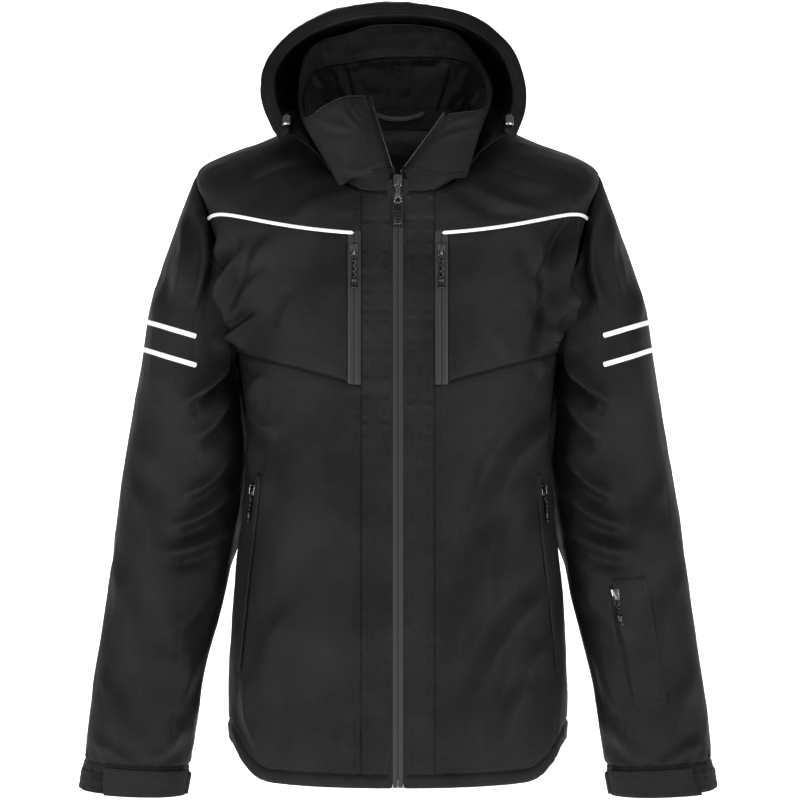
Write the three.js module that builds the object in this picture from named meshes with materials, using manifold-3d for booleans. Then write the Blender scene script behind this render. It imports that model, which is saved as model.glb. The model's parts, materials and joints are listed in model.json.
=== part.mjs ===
// A men's insulated ski jacket as it hangs when worn: front zip closed to the throat, stand collar
// open in a V, hood up behind the collar, both sleeves down. Millimetres, +Z up, the front faces -Y and
// the wearer's left is +X. The origin is the middle of the hanger loop at the back of the neck.
import * as THREE from "three";
import { mergeVertices } from "three/addons/utils/BufferGeometryUtils.js";
import Module from "manifold-3d";

const wasm = await Module();
wasm.setup();

// ---- driving dimensions -------------------------------------------------------------------------
const BACK_LENGTH = 748; // neck seam to hem
const CHEST_HALF = 187; // half width of the body at the armpit
const SHOULDER_HALF = 227; // centre back to the sleeve head
const SLEEVE_LENGTH = 717; // shoulder point to cuff, straight down
const FRONT_NECK_DROP = 100; // the front neck seam lies this far below the back one
const THROAT_DROP = 77; // and the zip is closed up to here
const PADDING = 7; // outer cloth and insulation of the body and sleeves
const HOOD_PADDING = 5;
const COLLAR_PADDING = 6;
const LINING = 1.6;
const LINING_GAP = 4; // air between the padding and the lining
const SEAM = 0.6; // gap between two neighbouring panels
const TOUCH = 0.35; // gap between two hard pieces that touch
const HEM_BAND = 20;
const PLACKET_EDGE = 40; // centre front to the long front seam
const STRIPE_WIDTH = 6.5; // reflective tape
const STRIPE_THICK = 0.9;
const CUFF_HEIGHT = 27;
const TAB_HEIGHT = 25;
const TAB_THICK = 2.6;
const PATCH_THICK = 1.4;
const LOOP_HALF = 26; // hanger loop, half its width
const LOOP_DIAMETER = 4.2;
const LOOP_REACH = 15; // how far the loop stands off the neck seam
const DEG = Math.PI / 180;

// Zip sizes: [half width of the strip, thickness of the tape, half width of the slit].
const MAIN_ZIP = { half: 8, tape: 1.5, slit: 0.9, coil: 2.4 };
const POCKET_ZIP = { half: 6.8, tape: 1.5, slit: 0.8, coil: 2.0 };
const SLIDER = { plate: 1.9, back: 1.2, height: 13, crown: 1.2, crownWidth: 3, bar: 1.7 };

// ---- small helpers ------------------------------------------------------------------------------
const lerp = (a, b, t) => a + (b - a) * t;
const clamp01 = (t) => Math.min(1, Math.max(0, t));
const smooth = (a, b, t) => {
  const s = clamp01((t - a) / (b - a));
  return s * s * (3 - 2 * s);
};
const power = (value, exponent) => Math.sign(value) * Math.abs(value) ** exponent;
const vec = (x, y, z) => new THREE.Vector3(x, y, z);

// Evenly stepped Catmull-Rom value of a list of numbers at t from 0 to its last index.
function through(list, t) {
  const i = Math.min(list.length - 2, Math.max(0, Math.floor(t)));
  const f = t - i;
  const at = (k) => list[Math.min(list.length - 1, Math.max(0, k))];
  const [a, b, c, d] = [at(i - 1), at(i), at(i + 1), at(i + 2)];
  const square = 2 * a - 5 * b + 4 * c - d;
  return b + 0.5 * f * (c - a + f * (square + f * (3 * (b - c) + d - a)));
}

// The same through a list of [x, y, z] points, t from 0 to 1.
const along = (points, t) =>
  vec(...[0, 1, 2].map((k) => through(points.map((p) => p[k]), t * (points.length - 1))));

// A point on a surface, moved inwards by depth along the surface's own normal.
function skin(surface, u, v, depth, step = [1e-3, 1e-3]) {
  const across = surface(u + step[0], v).sub(surface(u - step[0], v));
  const up = surface(u, v + step[1]).sub(surface(u, v - step[1]));
  return surface(u, v).addScaledVector(across.cross(up).normalize(), -depth);
}

// The geometry with shared corners, no flat triangles and its faces outwards.
function turnedOutwards(geometry) {
  const merged = mergeVertices(bare(geometry), 1e-4);
  const p = merged.getAttribute("position");
  const corner = (i) => new THREE.Vector3().fromBufferAttribute(p, i);
  const faces = [];
  for (let i = 0; i < merged.index.count; i += 3) {
    const [a, b, c] = [0, 1, 2].map((k) => merged.index.getX(i + k));
    if (a !== b && b !== c && c !== a) faces.push([a, b, c]);
  }
  let volume = 0;
  for (const [a, b, c] of faces) volume += corner(a).dot(corner(b).cross(corner(c)));
  merged.setIndex(faces.flatMap(([a, b, c]) => (volume < 0 ? [a, c, b] : [a, b, c])));
  return merged;
}

function bare(geometry) {
  const copy = geometry.clone();
  copy.deleteAttribute("normal");
  copy.deleteAttribute("uv");
  return copy;
}

// A curved slab: a box of nu by nv cells whose corners are moved to place(u, v, outer).
function slab(nu, nv, place) {
  const box = new THREE.BoxGeometry(1, 1, 1, nu, nv, 1);
  const p = box.getAttribute("position");
  for (let i = 0; i < p.count; i++)
    p.setXYZ(i, ...place(p.getX(i) + 0.5, p.getY(i) + 0.5, p.getZ(i) > 0));
  return turnedOutwards(box);
}

// A closed tube wall: a lathed square ring whose corners are moved to place(angle, v, outer).
function tubeWall(around, steps, place) {
  const rise = [...Array(steps + 1).keys()].map((i) => i / steps);
  const profile = [
    ...rise.map((h) => new THREE.Vector2(2, h)),
    ...rise.map((h) => new THREE.Vector2(1, 1 - h)),
    new THREE.Vector2(2, 0),
  ];
  const ring = new THREE.LatheGeometry(profile, around);
  const p = ring.getAttribute("position");
  for (let i = 0; i < p.count; i++) {
    const angle = Math.atan2(p.getX(i), p.getZ(i));
    const outer = Math.hypot(p.getX(i), p.getZ(i)) > 1.5;
    p.setXYZ(i, ...place(angle, p.getY(i), outer));
  }
  return turnedOutwards(ring);
}

function solid(geometry) {
  const merged = turnedOutwards(geometry);
  return new wasm.Manifold(
    new wasm.Mesh({
      numProp: 3,
      vertProperties: merged.getAttribute("position").array,
      triVerts: new Uint32Array(merged.index.array),
    }),
  );
}

function geometryOf(made) {
  const mesh = made.getMesh();
  const places = new Float32Array(mesh.numVert * 3);
  for (let i = 0; i < mesh.numVert; i++)
    places.set(mesh.vertProperties.subarray(i * mesh.numProp, i * mesh.numProp + 3), i * 3);
  return new THREE.BufferGeometry()
    .setAttribute("position", new THREE.BufferAttribute(places, 3))
    .setIndex(new THREE.BufferAttribute(mesh.triVerts, 1));
}

const joined = (...geometries) =>
  geometryOf(geometries.map(solid).reduce((all, one) => all.add(one)));
const cut = (geometry, ...tools) =>
  geometryOf(tools.map(solid).reduce((left, tool) => left.subtract(tool), solid(geometry)));

const block = (x0, x1, y0, y1, z0, z1) =>
  new THREE.BoxGeometry(x1 - x0, y1 - y0, z1 - z0).translate(
    (x0 + x1) / 2,
    (y0 + y1) / 2,
    (z0 + z1) / 2,
  );

// An outline drawn in x and z, given thickness from y0 to y1.
const plate = (shape, y0, y1, curveSegments = 6) =>
  new THREE.ExtrudeGeometry(shape, { depth: y1 - y0, bevelEnabled: false, curveSegments })
    .rotateX(Math.PI / 2)
    .translate(0, y1, 0);

// ---- materials ----------------------------------------------------------------------------------
const cloth = (color, roughness = 0.85) =>
  new THREE.MeshStandardMaterial({ color, roughness, metalness: 0 });
const SHELL_CLOTH = cloth(0x202021);
const LINING_CLOTH = cloth(0x151516, 0.6);
const ZIP_TAPE = cloth(0x3c3c3e, 0.5);
const WHITE_TAPE = cloth(0xf2f2f0, 0.45);
const FLEECE = cloth(0x242425, 0.95);
const LABEL_SATIN = cloth(0x0c0c0d, 0.35);
const HARD_BLACK = new THREE.MeshStandardMaterial({ color: 0x111112, roughness: 0.3, metalness: 0.6 });
const MOULDED = cloth(0x18181a, 0.35);

// ---- the body as one surface --------------------------------------------------------------------
// The centre front is one straight line, so that the zip runs straight.
const HEM_FRONT = 150; // depth of the front at the hem
const FRONT_LEAN = 32 / 648; // how much the front line comes back for each mm of height
const frontDepth = (z) => HEM_FRONT - FRONT_LEAN * (z + BACK_LENGTH);

const NECK_HALF = 86;
const NECK_BACK = 62;
// Rings from hem to neck: half width, back depth, height at front, side and back, squareness.
const RINGS = [
  [CHEST_HALF + 3, 140, -BACK_LENGTH, -BACK_LENGTH, -BACK_LENGTH, 2.4],
  [CHEST_HALF + 8, 142, -660, -660, -660, 2.4],
  [CHEST_HALF + 2, 134, -560, -560, -560, 2.4],
  [CHEST_HALF - 13, 121, -400, -400, -400, 2.4],
  [CHEST_HALF - 9, 128, -315, -312, -315, 2.5],
  [CHEST_HALF, 133, -264, -262, -262, 2.7],
  [lerp(CHEST_HALF, SHOULDER_HALF, 0.4), 136, -205, -196, -200, 3],
  [SHOULDER_HALF - 5, 130, -149, -114, -125, 3.1],
  [SHOULDER_HALF, 112, -127, -64, -78, 2.7],
  [NECK_HALF + 64, 86, -113, -28, -32, 2.4],
  [NECK_HALF, NECK_BACK, -FRONT_NECK_DROP, 2, 0, 2.6],
];
const V = { hem: 0, chestSeam: 4, armpit: 5, piping: 7, shoulder: 8, neck: RINGS.length - 1 };

const ringAt = (v) => [0, 1, 2, 3, 4, 5].map((k) => through(RINGS.map((r) => r[k]), v));

// theta 0 is the centre front, 90 degrees the wearer's left side, 180 the centre back.
function body(theta, v) {
  const [half, back, zFront, zSide, zBack, squareness] = ringAt(v);
  const towards = Math.cos(theta);
  const e = 2 / squareness;
  const flat = towards > 0 ? lerp(1.6, 0.6, smooth(8.3, V.neck, v)) : 1.6; // the neckline is flat in front
  const lift = Math.abs(towards) ** flat;
  const z = lerp(zSide, towards > 0 ? zFront : zBack, lift);
  const depth = towards > 0 ? frontDepth(zFront) : back;
  return vec(half * power(Math.sin(theta), e), -depth * power(towards, e), z);
}

// The angle at which a ring passes a given distance from the centre front.
function angleAt(x, v) {
  const [half, , , , , squareness] = ringAt(v);
  return Math.asin((x / half) ** (squareness / 2));
}

// A panel of the body between two edges, each a function of height, and two seams, each a function
// of the angle.
function bodyPanel(nu, nv, edgeA, edgeB, low, high, depthOut, depthIn) {
  const thetaAt = (u, v) => lerp(edgeA(v), edgeB(v), u);
  // The height at which a seam crosses the panel's column u.
  const crossing = (seam, u) =>
    [1, 2, 3, 4, 5, 6].reduce((v) => seam(thetaAt(u, v)), seam(thetaAt(u, V.armpit)));
  return slab(nu, nv, (u, share, outer) => {
    const v = lerp(crossing(low, u), crossing(high, u), share);
    const theta = thetaAt(u, v);
    return skin(body, theta, v, outer ? depthOut : depthIn, [2e-3, 2e-3]);
  });
}

const mirrored = (geometry) => turnedOutwards(geometry.clone().scale(-1, 1, 1));
const SEAM_V = 0.012; // the seam gap as a share of the space between two rings
const ARMHOLE_FRONT = 69 * DEG;
const ARMHOLE_BACK = 116 * DEG;
const SIDE = 90 * DEG;
const seamAngle = SEAM / CHEST_HALF;

const CHEST_ZIP_X = PLACKET_EDGE + SEAM + POCKET_ZIP.half + TOUCH; // its middle from the centre front
const hemTop = (HEM_BAND + SEAM) / 82;
const placketAngle = (v) => angleAt(PLACKET_EDGE + SEAM, v);

// The chest seam climbs from the front seam to the armpit.
const SEAM_START = 13 * DEG; // the angle of the long front seam
const chestSeam = (theta) =>
  V.chestSeam + 0.02 + 0.96 * clamp01((theta - SEAM_START) / (SIDE - SEAM_START)) ** 1.6;

const frontPanel = bodyPanel(
  9,
  11,
  placketAngle,
  () => SIDE - seamAngle,
  () => hemTop,
  (theta) => chestSeam(theta) - SEAM_V,
  0,
  PADDING,
);
const chestPanel = bodyPanel(
  8,
  6,
  (v) => angleAt(CHEST_ZIP_X + POCKET_ZIP.half + TOUCH + 0.3, v),
  () => ARMHOLE_FRONT,
  (theta) => chestSeam(theta) + SEAM_V,
  () => V.piping - SEAM_V,
  0,
  PADDING,
);
// The yoke starts at the piping in front, climbs the armhole, crosses the shoulder and drops down the back.
const yokeLow = (theta) =>
  lerp(V.piping, V.shoulder, smooth(ARMHOLE_FRONT, ARMHOLE_FRONT + 12 * DEG, theta)) + SEAM_V;
const yokePanel = bodyPanel(
  26,
  4,
  placketAngle,
  (v) => 2 * Math.PI - placketAngle(v),
  (theta) => yokeLow(Math.min(theta, 2 * Math.PI - theta)),
  () => V.neck - 0.02,
  0,
  PADDING,
);
const placket = bodyPanel(
  2,
  13,
  (v) => angleAt(MAIN_ZIP.half + TOUCH, v),
  (v) => angleAt(PLACKET_EDGE, v),
  () => hemTop,
  () => V.neck - 0.02,
  0,
  PADDING,
);
const backEdge = (v) => lerp(SIDE, ARMHOLE_BACK, smooth(V.armpit - 0.15, V.armpit + 0.15, v));
const backPanel = bodyPanel(
  12,
  10,
  (v) => backEdge(v) + seamAngle,
  (v) => 2 * Math.PI - backEdge(v) - seamAngle,
  () => hemTop,
  () => V.shoulder - SEAM_V,
  0,
  PADDING,
);
const hemBand = bodyPanel(
  32,
  1,
  (v) => angleAt(MAIN_ZIP.half + TOUCH, v),
  (v) => 2 * Math.PI - angleAt(MAIN_ZIP.half + TOUCH, v),
  () => V.hem,
  () => hemTop - SEAM / 82,
  -1.5,
  PADDING + 1.5,
);
const liningOut = PADDING + LINING_GAP;
const liningEdge = (v) => angleAt(14, v);
const bodyLining = bodyPanel(
  20,
  6,
  liningEdge,
  (v) => 2 * Math.PI - liningEdge(v),
  () => hemTop + 0.05,
  () => V.armpit - 0.25,
  liningOut,
  liningOut + LINING,
);
const yokeLiningOut = liningOut + 3; // the yoke's lining hangs a little looser
const yokeLining = bodyPanel(
  10,
  7,
  () => ARMHOLE_BACK + 18 * DEG,
  () => 2 * Math.PI - ARMHOLE_BACK - 18 * DEG,
  () => V.armpit - 0.15,
  () => V.neck - 0.45,
  yokeLiningOut,
  yokeLiningOut + LINING,
);

// ---- zips ---------------------------------------------------------------------------------------
// A zip's own frame: x across, z up along the zip, the outside faces -y, and y = 0 is the outside of
// the tape. The group's origin is where the slider stands at rest.
function zipFrame(top, bottom, outwards) {
  const up = top.clone().sub(bottom).normalize();
  const inwards = outwards.clone().negate().projectOnPlane(up).normalize();
  const frame = new THREE.Group();
  frame.quaternion.setFromRotationMatrix(
    new THREE.Matrix4().makeBasis(inwards.clone().cross(up), inwards, up),
  );
  frame.position.copy(top);
  return frame;
}

// The slider: outer plate, a web through the slit, an inner plate round the coil, and a crown.
function sliderGeometry(size) {
  const wide = size.half * 0.72;
  const inner = size.tape + size.coil + TOUCH;
  const front = block(-wide, wide, -TOUCH - SLIDER.plate, -TOUCH, -SLIDER.height, 0);
  const web = block(-size.slit + TOUCH, size.slit - TOUCH, -1, inner + 0.5, -SLIDER.height + 2, -1);
  const back = block(-wide * 0.8, wide * 0.8, inner, inner + SLIDER.back, -SLIDER.height, -1);
  const face = -TOUCH - SLIDER.plate;
  const reach = SLIDER.bar + 2 * TOUCH + 0.2;
  const middle = -SLIDER.height / 2;
  const arch = new THREE.Shape()
    .moveTo(middle - 5.2, face + 0.4)
    .lineTo(middle - 5.2, face - reach * 0.5)
    .quadraticCurveTo(middle - 4.6, face - reach - SLIDER.crown, middle - 2.6, face - reach - SLIDER.crown)
    .lineTo(middle + 2.6, face - reach - SLIDER.crown)
    .quadraticCurveTo(middle + 4.6, face - reach - SLIDER.crown, middle + 5.2, face - reach * 0.5)
    .lineTo(middle + 5.2, face + 0.4)
    .lineTo(middle + 3.8, face + 0.4)
    .lineTo(middle + 3.8, face - reach * 0.6)
    .lineTo(middle + 2.4, face - reach)
    .lineTo(middle - 2.4, face - reach)
    .lineTo(middle - 3.8, face - reach * 0.6)
    .lineTo(middle - 3.8, face + 0.4)
    .closePath();
  const crown = new THREE.ExtrudeGeometry(arch, {
    depth: SLIDER.crownWidth,
    bevelEnabled: false,
    curveSegments: 3,
  });
  crown.applyMatrix4(
    new THREE.Matrix4().makeBasis(vec(0, 0, 1), vec(0, 1, 0), vec(-1, 0, 0)),
  );
  crown.translate(SLIDER.crownWidth / 2, 0, 0);
  return joined(front, web, back, crown);
}
// Where the puller's bar lies in the crown.
const barPlace = () =>
  vec(0, -TOUCH - SLIDER.plate - TOUCH - SLIDER.bar / 2, -SLIDER.height / 2);

function roundedBar(halfTop, halfEnd, length, start) {
  return new THREE.Shape()
    .moveTo(halfTop, start)
    .lineTo(-halfTop, start)
    .lineTo(-halfEnd, -length + halfEnd)
    .absarc(0, -length + halfEnd, halfEnd, Math.PI, 2 * Math.PI)
    .closePath();
}

function window(halfWidth, top, bottom) {
  return new THREE.Path()
    .moveTo(-halfWidth, top)
    .lineTo(-halfWidth, bottom)
    .lineTo(halfWidth, bottom)
    .lineTo(halfWidth, top)
    .closePath();
}

// A puller hanging from its bar at the origin: a frame, then an eye for the pull tab.
function pullerGeometry(length, half) {
  const thick = SLIDER.bar;
  const outline = roundedBar(half, half * 0.8, length, thick / 2);
  const wide = SLIDER.crownWidth / 2 + 0.7;
  outline.holes.push(window(wide, -thick / 2, -9.5));
  outline.holes.push(new THREE.Path().absarc(0, -length + half * 0.8, half * 0.36, 0, 2 * Math.PI, true));
  return plate(outline, -thick / 2, thick / 2, 3);
}

// The moulded end of a pull: a waisted grip with a rounded foot.
function pullTabGeometry(length, half, thick) {
  const outline = new THREE.Shape()
    .moveTo(-half * 0.55, 0)
    .lineTo(half * 0.55, 0)
    .quadraticCurveTo(half * 0.5, -length * 0.3, half, -length * 0.5)
    .lineTo(half, -length + half)
    .absarc(0, -length + half, half, 0, -Math.PI, true)
    .lineTo(-half, -length * 0.5)
    .quadraticCurveTo(-half * 0.5, -length * 0.3, -half * 0.55, 0);
  return plate(outline, -thick / 2, thick / 2, 4);
}

// A pocket zip: a strip with a slit from just under its head to just over its foot.
function stripGeometry(size, length) {
  const outline = new THREE.Shape()
    .moveTo(-size.half, -length)
    .lineTo(size.half, -length)
    .lineTo(size.half, 3)
    .lineTo(-size.half, 3)
    .closePath();
  outline.holes.push(window(size.slit, 0.5, -length + 4));
  const tape = plate(outline, 0, size.tape);
  const coil = (side) =>
    block(
      side > 0 ? size.slit : -size.slit - 2.2,
      side > 0 ? size.slit + 2.2 : -size.slit,
      size.tape - 0.2,
      size.tape + size.coil,
      -length + 4,
      0.5,
    );
  return joined(tape, coil(1), coil(-1));
}
const stripRoom = (size, length) =>
  block(-size.half - TOUCH, size.half + TOUCH, -12, 30, -length - TOUCH, 3 + TOUCH);

const jacket = new THREE.Group();
function add(parent, name, geometry, material) {
  const mesh = new THREE.Mesh(geometry, material);
  mesh.name = name;
  parent.add(mesh);
  return mesh;
}
const onBody = (theta, v, depth) => skin(body, theta, v, depth, [2e-3, 2e-3]);

function bodyNormal(theta, v) {
  return onBody(theta, v, -1).sub(onBody(theta, v, 0)).normalize();
}

const sunk = 0.5; // a zip's tape lies a little below the cloth
// Main zip: two tapes with a coil behind each, from the hem to the throat.
const frontUp = vec(0, FRONT_LEAN, 1).normalize();
const throat = vec(0, -frontDepth(-THROAT_DROP), -THROAT_DROP);
const MAIN_LENGTH = throat.clone().sub(body(0, 0)).length();
const mainZip = zipFrame(throat, body(0, 0), vec(0, -1, FRONT_LEAN));
jacket.add(mainZip);
const tapeHalf = block(MAIN_ZIP.slit, MAIN_ZIP.half, 0, MAIN_ZIP.tape, -MAIN_LENGTH + 1, 12);
const coilHalf = block(
  MAIN_ZIP.slit,
  MAIN_ZIP.slit + 2.6,
  MAIN_ZIP.tape - 0.2,
  MAIN_ZIP.tape + MAIN_ZIP.coil,
  -MAIN_LENGTH + 9,
  8,
);
const zipHalf = joined(tapeHalf, coilHalf).translate(0, sunk, 0);
for (const [side, turn] of [["left", (g) => g], ["right", mirrored]])
  add(mainZip, "main_zip_" + side, turn(zipHalf), ZIP_TAPE);
add(
  mainZip,
  "main_zip_box",
  block(-4.5, 4.5, sunk + MAIN_ZIP.tape + TOUCH, sunk + 5, -MAIN_LENGTH + 1, -MAIN_LENGTH + 8.4),
  HARD_BLACK,
);
const MAIN_REST = -4; // the slider stands this far from the top of the closed part
const mainSlider = new THREE.Group();
mainSlider.position.set(0, sunk, MAIN_REST);
mainZip.add(mainSlider);
add(mainSlider, "main_slider", sliderGeometry(MAIN_ZIP), HARD_BLACK);
const mainPull = new THREE.Group();
mainPull.position.copy(barPlace());
mainSlider.add(mainPull);
add(mainPull, "main_puller", pullerGeometry(25, 5), HARD_BLACK);
add(
  mainPull,
  "main_pull_tab",
  pullTabGeometry(27, 4.6, 4).translate(0, 0, -25 - TOUCH),
  MOULDED,
);

// Chest pocket zips: straight strips between the long front seams and the chest panels.
const onChestZip = (v, depth) => onBody(angleAt(CHEST_ZIP_X, v), v, depth);
const chestZipTop = onChestZip(V.piping - 0.17, sunk);
const chestZipFoot = onChestZip(V.chestSeam + 0.1, sunk);
const CHEST_ZIP_LENGTH = chestZipTop.distanceTo(chestZipFoot);
function chestZipFrame(side) {
  const normal = bodyNormal(angleAt(CHEST_ZIP_X, 5.5), 5.5);
  const flip = (p) => p.clone().multiply(vec(side, 1, 1));
  return zipFrame(flip(chestZipTop), flip(chestZipFoot), flip(normal));
}

// Hand pocket zips on the side front, leaning forward at the top.
const HAND_ZIP_LENGTH = 185;
function handZipFrame(side) {
  const top = onBody(64 * DEG, 2.85, sunk - 0.6);
  const bottom = onBody(68 * DEG, 1.35, sunk - 0.6);
  const normal = bodyNormal(66 * DEG, 2.1);
  const flip = (p) => p.multiply(vec(side, 1, 1));
  return zipFrame(flip(top), flip(bottom), flip(normal));
}

function pocketZip(frame, name, length, side, slider, pullLength) {
  jacket.add(frame);
  add(frame, name + "_zip_" + side, stripGeometry(POCKET_ZIP, length), ZIP_TAPE);
  const run = new THREE.Group();
  run.position.z = -1;
  frame.add(run);
  add(run, slider, sliderGeometry(POCKET_ZIP), HARD_BLACK);
  const pull = new THREE.Group();
  pull.position.copy(barPlace());
  run.add(pull);
  const frameLength = 15;
  const grip = pullTabGeometry(pullLength - frameLength + 3, 3.4, 3.2).translate(0, 0, -frameLength + 3);
  const puller = joined(pullerGeometry(frameLength, 4), grip);
  add(pull, slider.replace("slider", "puller"), puller, HARD_BLACK);
  return frame;
}

// The slot that a strip needs in the panel under it.
function slotFor(frame, length) {
  frame.updateMatrix();
  return stripRoom(POCKET_ZIP, length).applyMatrix4(frame.matrix);
}

// ---- body panels --------------------------------------------------------------------------------
for (const [side, sign] of [["left", 1], ["right", -1]]) {
  const turn = sign > 0 ? (g) => g : mirrored;
  const chestFrame = chestZipFrame(sign);
  const handFrame = handZipFrame(sign);
  pocketZip(chestFrame, "chest", CHEST_ZIP_LENGTH, side, "chest_slider_" + side, 36);
  pocketZip(handFrame, "hand", HAND_ZIP_LENGTH, side, "hand_slider_" + side, 32);
  add(
    jacket,
    "front_panel_" + side,
    cut(turn(frontPanel), slotFor(handFrame, HAND_ZIP_LENGTH)),
    SHELL_CLOTH,
  );
  add(jacket, "chest_panel_" + side, turn(chestPanel), SHELL_CLOTH);
  add(jacket, "placket_" + side, turn(placket), SHELL_CLOTH);
}
add(jacket, "yoke", yokePanel, SHELL_CLOTH);
add(jacket, "back_panel", backPanel, SHELL_CLOTH);
add(jacket, "hem_band", hemBand, SHELL_CLOTH);
add(jacket, "body_lining", bodyLining, LINING_CLOTH);
add(jacket, "back_yoke_lining", yokeLining, LINING_CLOTH);

// White piping along the yoke seam, from the chest zip to the armhole.
const pipingStart = (v) => angleAt(CHEST_ZIP_X + POCKET_ZIP.half + 1.2, v);
const piping = bodyPanel(
  8,
  1,
  pipingStart,
  () => ARMHOLE_FRONT - 0.3 * DEG,
  () => V.piping - 0.06,
  () => V.piping + 0.13,
  -0.8 - STRIPE_THICK,
  -0.8,
);
add(jacket, "chest_piping_left", piping, WHITE_TAPE);
add(jacket, "chest_piping_right", mirrored(piping), WHITE_TAPE);

// ---- collar -------------------------------------------------------------------------------------
// The rim's points run from the wearer's right front corner round the back to the left one.
const COLLAR_RIM = [
  [-36, -124, 8],
  [-70, -108, 8],
  [-104, -66, -8],
  [-115, -8, 44],
  [-103, 46, 88],
  [-56, 80, 116],
  [0, 92, 123],
  [56, 80, 116],
  [100, 46, 88],
  [111, -6, 44],
  [106, -56, 6],
  [86, -92, 0],
  [62, -116, -8],
];
const COLLAR_GAP = 8.5; // half the gap that the main zip's tapes fill at the neck seam
const CLOSED = (FRONT_NECK_DROP - THROAT_DROP) / 100; // share of the front edges that the zip holds shut
// The rims were drawn for a neck of 86 and move out or in with it.
const widened = (t) => (NECK_HALF - 86) * clamp01(6 * Math.abs(t - 0.5)) * Math.sign(t - 0.5);
function collar(t, s) {
  const edge = angleAt(COLLAR_GAP, V.neck);
  const base = body(lerp(-edge, -2 * Math.PI + edge, t), V.neck).add(vec(0, 0, 1.5));
  const rim = along(COLLAR_RIM, t).add(vec(widened(t), 0, 0));
  const side = smooth(0, 0.1, t) * smooth(0, 0.1, 1 - t);
  const spread = lerp(clamp01((s - CLOSED) / (1 - CLOSED)), s, side);
  const point = vec(lerp(base.x, rim.x, spread), lerp(base.y, rim.y, spread), lerp(base.z, rim.z, s));
  const belly = 6 * Math.sin(Math.PI * s) * side;
  return point.add(vec(point.x, point.y + 10, 0).normalize().multiplyScalar(belly));
}
const collarWall = slab(24, 4, (t, s, outer) =>
  skin(collar, t, s * 0.985 + 0.008, outer ? 0 : -COLLAR_PADDING, [2e-3, 2e-3]),
);
add(jacket, "collar", collarWall, SHELL_CLOTH);

// ---- hanger loop and neck label -----------------------------------------------------------------
const loopEnd = NECK_BACK - COLLAR_PADDING - LOOP_DIAMETER / 2 - 1;
const loopPath = new THREE.CatmullRomCurve3(
  [
    [-LOOP_HALF, 0, 7],
    [-LOOP_HALF * 0.82, LOOP_REACH * 0.6, 3.6],
    [-LOOP_HALF * 0.4, LOOP_REACH * 0.95, 0.8],
    [0, LOOP_REACH, 0],
    [LOOP_HALF * 0.4, LOOP_REACH * 0.95, 0.8],
    [LOOP_HALF * 0.82, LOOP_REACH * 0.6, 3.6],
    [LOOP_HALF, 0, 7],
  ].map(([x, reach, z]) => vec(x, loopEnd - reach, z)),
);
const loopSection = new THREE.Shape().absarc(0, 0, LOOP_DIAMETER / 2, 0, 2 * Math.PI);
add(
  jacket,
  "hanger_loop",
  new THREE.ExtrudeGeometry(loopSection, {
    steps: 12,
    curveSegments: 4,
    bevelEnabled: false,
    extrudePath: loopPath,
  }),
  LINING_CLOTH,
);
const labelTop = V.neck - 0.62;
const neckLabel = bodyPanel(
  4,
  3,
  () => Math.PI - 15 * DEG,
  () => Math.PI + 15 * DEG,
  () => labelTop - 0.72,
  () => labelTop,
  yokeLiningOut + LINING + 1.2,
  yokeLiningOut + LINING + 2.2,
);
add(jacket, "neck_label", neckLabel, LABEL_SATIN);

// ---- hood ---------------------------------------------------------------------------------------
// From the rim round the face back to the seam round the neck.
const HOOD_RIM = [
  [-132, -64, -36],
  [-149, -48, 0],
  [-154, -22, 42],
  [-138, 4, 80],
  [-106, 20, 108],
  [-58, 30, 127],
  [0, 34, 133],
  [56, 30, 127],
  [98, 20, 108],
  [128, 4, 80],
  [142, -20, 42],
  [143, -46, 2],
  [130, -64, -34],
];
const HOOD_NECK = [
  [-129, -54, -28],
  [-126, -28, -10],
  [-122, 8, 2],
  [-110, 44, 4],
  [-86, 70, 8],
  [-46, 84, 12],
  [0, 88, 13],
  [46, 84, 12],
  [86, 70, 8],
  [110, 44, 4],
  [122, 8, 2],
  [126, -28, -10],
  [129, -54, -28],
];
const HOOD_DEPTH = 104; // how far the crown bulges behind the rim and the neck seam
function hood(t, s) {
  const rim = along(HOOD_RIM, t).add(vec(widened(t), 0, 0));
  const neck = along(HOOD_NECK, t).add(vec(widened(t), 0, 0));
  const middle = Math.sin(Math.PI * t);
  const reach = HOOD_DEPTH * middle ** 1.3;
  const first = rim.clone().add(vec(rim.x * 0.05 * middle, reach * 1.05, 30 * middle));
  const second = neck.clone().add(vec(neck.x * 0.22 * middle, reach * 0.85, 42 * middle));
  return new THREE.CubicBezierCurve3(rim, first, second, neck).getPoint(s);
}
const hoodShell = slab(22, 8, (t, s, outer) =>
  skin(hood, lerp(0.004, 0.996, t), lerp(0.004, 0.996, s), outer ? 0 : HOOD_PADDING, [1e-3, 1e-3]),
);
const hoodGroup = new THREE.Group();
jacket.add(hoodGroup);
add(hoodGroup, "hood_shell", hoodShell, SHELL_CLOTH);

// The hood's base: sewn round the neck outside the collar, it carries the hood's lower edge.
const HOOD_FRONT = 43 * DEG;
function hoodBase(t, s) {
  const theta = lerp(-HOOD_FRONT, -2 * Math.PI + HOOD_FRONT, t);
  const inner = skin(body, theta, V.neck - 0.16, -5, [2e-3, 2e-3]);
  const edge = along(HOOD_NECK, t).add(vec(widened(t), 0, 0));
  const lower = edge.add(vec(0, 0, -HOOD_PADDING - 1.5));
  return inner.lerp(lower, s).add(vec(0, 0, 8.5 * Math.sin(Math.PI * s)));
}
const hoodBaseBand = slab(20, 2, (t, s, outer) =>
  hoodBase(lerp(0.01, 0.99, t), s).add(vec(0, 0, outer ? 3 : 0)),
);
add(jacket, "hood_base", hoodBaseBand, SHELL_CLOTH);

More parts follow.
